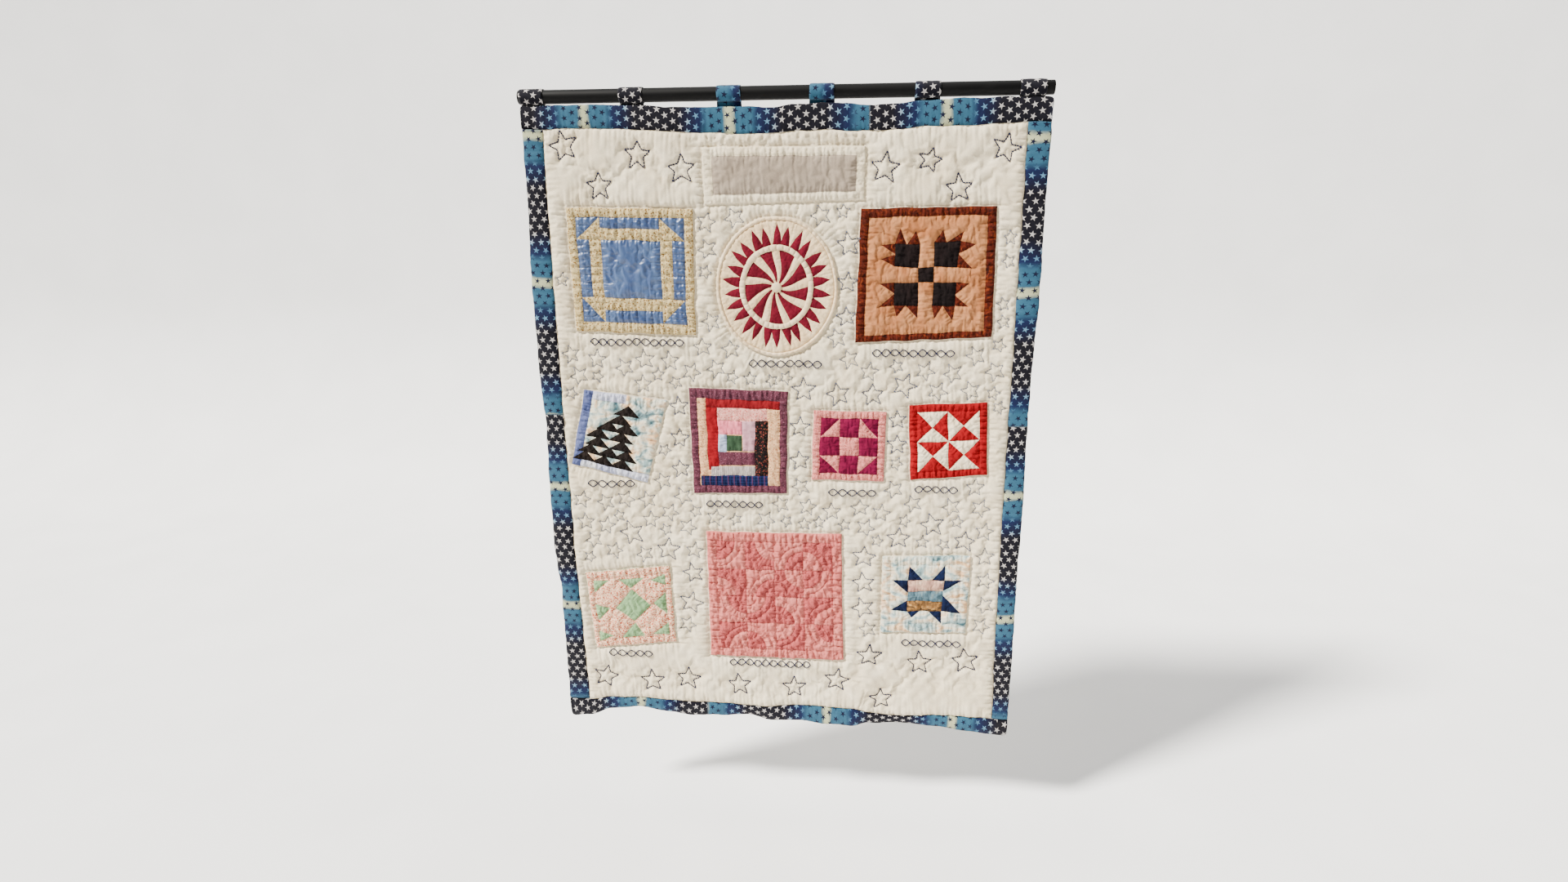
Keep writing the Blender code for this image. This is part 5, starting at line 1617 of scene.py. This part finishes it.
def covered_button():
    """The cloth-covered button at the wheel's middle, with gathers at its edge."""
    verts = []
    for k in range(BUTTON_ROWS + 1):
        t = k / BUTTON_ROWS
        angle = t * math.pi * 0.56
        radius = HUB_RADIUS * math.sin(angle)
        lift = HUB_HEIGHT * (0.14 + 0.86 * max(0.0, math.cos(angle)) ** 0.8) if t < 0.999 else 0.0
        for i in range(BUTTON_STEPS):
            around = 2 * math.pi * i / BUTTON_STEPS
            gather = 1.0 + 0.035 * t ** 4 * math.sin(around * 17)
            verts.append((WHEEL_X + radius * gather * math.cos(around), BUTTON_BASE - lift,
                          WHEEL_Z + radius * gather * math.sin(around)))
    faces = skin(BUTTON_ROWS + 1, BUTTON_STEPS, False, True)
    faces.append([BUTTON_ROWS * BUTTON_STEPS + i for i in range(BUTTON_STEPS)])
    obj = mesh_object("covered_button", verts, faces, [BIAS_CREAM])
    close_up(obj, weld=True)
    return ride_root(obj, "wheel_hub")


# Thread: each stitch is a five-sided lozenge, its rings at shares along it with their swell

STITCH_RINGS = ((-0.5, 0.25), (-0.38, 0.85), (0.0, 1.0), (0.38, 0.85), (0.5, 0.25))
STITCH_SIDES = 5
TOWARDS_VIEWER = np.array([0.0, -1.0, 0.0])
BRAID_PITCH = 0.046
BRAID_HEIGHT = 0.0090
BRAID_STEPS = 96


def surface_y(tree, x, z):
    """The cloth's surface nearest to the viewer at x, z."""
    hit = tree.ray_cast(Vector((x, -0.2, z)), Vector((0.0, 1.0, 0.0)))
    return FRONT_PLANE if hit[0] is None else hit[0].y


def add_stitch(verts, faces, ends, thick, lift):
    """One stitch bent over three points."""
    start, middle, end = ends
    first = len(verts)
    way = end - start
    way /= np.linalg.norm(way)
    out = TOWARDS_VIEWER
    side = np.cross(way, out)
    side /= np.linalg.norm(side)
    for along, swell in STITCH_RINGS:
        t = along + 0.5
        base = start * (1 - t) + end * t
        arch = (1.0 - (2 * along) ** 2) * (thick * 0.35)
        bend = max(0.0, (1 - abs(2 * along)) * (start[1] + end[1] - 2 * middle[1]) / 2)
        base = base + out * (lift + arch + bend)
        for i in range(STITCH_SIDES):
            angle = 2 * math.pi * i / STITCH_SIDES
            verts.append(base + (side * math.cos(angle) + out * math.sin(angle)) * thick / 2 * swell)
    rings = len(STITCH_RINGS)
    faces.extend(tuple(first + i for i in face) for face in skin(rings, STITCH_SIDES, False, True))
    faces.append(tuple(first + i for i in reversed(range(STITCH_SIDES))))
    last = first + (rings - 1) * STITCH_SIDES
    faces.append(tuple(last + i for i in range(STITCH_SIDES)))


def running_stitches(name, lines, closed, tree, mat, length, gap, thick, lift):
    """Small raised stitches along sewn lines, laid on the cloth below them."""
    trios = []
    for line in lines:
        points = np.array(line + [line[0]] if closed else line, float)
        arc = arc_along(points)
        count = max(1, int(arc[-1] / (length + gap)))
        real = arc[-1] / count
        middle = (np.arange(count) + 0.5) * real
        half = real * length / (length + gap) / 2
        spots = []
        for at in (middle - half, middle, middle + half):
            spots.append(np.stack([np.interp(at, arc, points[:, axis]) for axis in (0, 1)], axis=1))
        trios.append(np.stack(spots, axis=1))
    trios = np.concatenate(trios)
    verts = []
    faces = []
    for ends in place(trios[..., 0], trios[..., 1], 0.0):
        for end in ends:
            end[1] = surface_y(tree, end[0], end[2])
        add_stitch(verts, faces, ends, thick, lift)
    return ride_root(mesh_object(name, verts, faces, [mat]))


def braid_lines(spot):
    """Two stitched waves that cross each other, as a plain braid."""
    half = spot.half_width * 0.84
    turns = max(2, int(round(2 * half / BRAID_PITCH * 2))) / 2
    lines = []
    for sign in (1.0, -1.0):
        wave = []
        for i in range(BRAID_STEPS + 1):
            x = -half + 2 * half * i / BRAID_STEPS
            swing = math.sin(math.pi * turns * (x + half) / half)
            wave.append((spot.x + x, spot.z + sign * BRAID_HEIGHT * swing))
        lines.append(wave)
    return lines


# Build everything

field = quilt_top()
behind = backing()
blocks = [block_piece(block, DRESSES[block.name]) for block in BLOCKS]
wheel = wheel_disc()
wheel_parts = [
    bias_ring("wheel_binding", "wheel_rim", 1.0, RIM_WIDTH / 2, RIM_WIDTH * 0.56, -0.0008, 0.0062, 1),
    bias_ring("wheel_band", "wheel_ring", sum(RING_BAND) / 2, 0.0, 0.0070, 0.0014, 0.0058, 2),
    covered_button(),
]
borders = [
    long_strip("edge_top", "border_top", inner_top, outer_top, 1.0, -0.045, TOP_BANDS),
    long_strip("edge_bottom", "border_bottom", inner_bottom, outer_bottom, -1.0, -1.650, BOTTOM_BANDS),
    side_strip("edge_left", "border_left", inner_left, outer_left, -1.0, LEFT_BANDS),
    side_strip("edge_right", "border_right", inner_right, outer_right, 1.0, RIGHT_BANDS),
]
tabs = [tab_piece(number, x) for number, x in enumerate(TAB_X, start=1)]
rod = rod_piece()

# Thread lies on the settled field: a stitch's length, the gap after it, its thickness and lift
field_tree = BVHTree.FromPolygons([v.co for v in field.data.vertices],
                                  [tuple(p.vertices) for p in field.data.polygons])
braids = sum((braid_lines(spot) for spot in BARE_SPOTS[:-1]), [])
threads = [running_stitches(*row) for row in (
    ("dark_star_stitches", [star_outline(star) for star in DARK_STARS], True, field_tree,
     DARK_THREAD, 0.0056, 0.0006, 0.0034, 0.0008),
    ("grey_star_stitches", [star_outline(star) for star in GREY_STARS], True, field_tree,
     GREY_THREAD, 0.0050, 0.0009, 0.0030, 0.0007),
    ("filler_stitches", [star_outline(star) for star in FILLERS], True, field_tree,
     PALE_THREAD, 0.0046, 0.0010, 0.0026, 0.0006),
    ("braid_stitches", braids, False, field_tree, DARK_THREAD, 0.0040, 0.0002, 0.0034, 0.0009),
)]


# Stage, light and camera

FLOOR_Z = -1.95
FLOOR_FRONT = -4.0
WALL_Y = 3.2
WALL_TOP = 6.0
STAGE_HALF = 9.0
SWEEP = 1.2


def stage_piece():
    """A pale floor that turns up into a plain wall."""
    line = [(FLOOR_FRONT, FLOOR_Z)]
    for i in range(17):
        angle = math.pi / 2 * i / 16
        line.append((WALL_Y - SWEEP + SWEEP * math.sin(angle), FLOOR_Z + SWEEP - SWEEP * math.cos(angle)))
    line.append((WALL_Y, WALL_TOP))
    verts = [(x, y, z) for y, z in line for x in (-STAGE_HALF, STAGE_HALF)]
    faces = [(2 * i, 2 * i + 1, 2 * i + 3, 2 * i + 2) for i in range(len(line) - 1)]
    graph = Graph("studio_paint")
    uneven = graph.noise(graph.spot, 3.0, 2.0)
    tone = graph.ramp(uneven, (0.3, rgb(232, 232, 232)), (0.7, rgb(236, 236, 236)))
    graph.feed(graph.shader.inputs["Base Color"], tone)
    graph.shader.inputs["Roughness"].default_value = 0.9
    graph.shader.inputs["Specular IOR Level"].default_value = 0.1
    mesh_object("studio_floor", verts, faces, [graph.material])


def light_object(name, light, direction, location=(0.0, 0.0, 0.0)):
    obj = bpy.data.objects.new(name, light)
    obj.location = location
    obj.rotation_mode = "QUATERNION"
    obj.rotation_quaternion = Vector(direction).to_track_quat("-Z", "Y")
    bpy.context.scene.collection.objects.link(obj)


def area_light(name, location, target, size, power):
    light = bpy.data.lights.new(name, "AREA")
    light.shape = "RECTANGLE"
    light.size, light.size_y = size
    light.energy = power
    light_object(name, light, Vector(target) - Vector(location), location)


stage_piece()
area_light("fill", (2.6, -3.2, 0.4), (0.0, 0.0, -0.9), (2.5, 2.5), 16.0)
area_light("wall_light", (0.0, 0.6, 3.6), (0.0, 3.2, -0.6), (5.0, 1.5), 110.0)
key = bpy.data.lights.new("key", "SUN")
key.energy = 13.6
key.angle = math.radians(9.0)
key.color = (1.0, 0.965, 0.90)
light_object("key", key, (0.62, 0.36, -0.70))

world = bpy.data.worlds.new("studio")
world.use_nodes = True
world.node_tree.nodes["Background"].inputs["Color"].default_value = (0.90, 0.92, 0.95, 1.0)
world.node_tree.nodes["Background"].inputs["Strength"].default_value = 0.29
bpy.context.scene.world = world

CAMERA_TARGET = Vector((0.0076, -0.0106, -0.8365))
CAMERA_AZIMUTH = math.radians(5.27)
CAMERA_ELEVATION = math.radians(15.40)
CAMERA_ROLL = math.radians(-0.36)
CAMERA_DISTANCE = 2.1083

back = Vector((math.sin(CAMERA_AZIMUTH) * math.cos(CAMERA_ELEVATION),
               -math.cos(CAMERA_AZIMUTH) * math.cos(CAMERA_ELEVATION), math.sin(CAMERA_ELEVATION)))
right = Vector((math.cos(CAMERA_AZIMUTH), math.sin(CAMERA_AZIMUTH), 0.0))
up = back.cross(right)
turned_right = right * math.cos(CAMERA_ROLL) + up * math.sin(CAMERA_ROLL)
turned_up = up * math.cos(CAMERA_ROLL) - right * math.sin(CAMERA_ROLL)
lens = bpy.data.cameras.new("camera")
lens.lens = 18.75
lens.sensor_width = 36.0
camera = bpy.data.objects.new("camera", lens)
columns = (turned_right, turned_up, back, CAMERA_TARGET + back * CAMERA_DISTANCE)
rows = [[column[i] for column in columns] for i in range(3)]
camera.matrix_world = Matrix(rows + [[0.0, 0.0, 0.0, 1.0]])
bpy.context.scene.collection.objects.link(camera)
bpy.context.scene.camera = camera
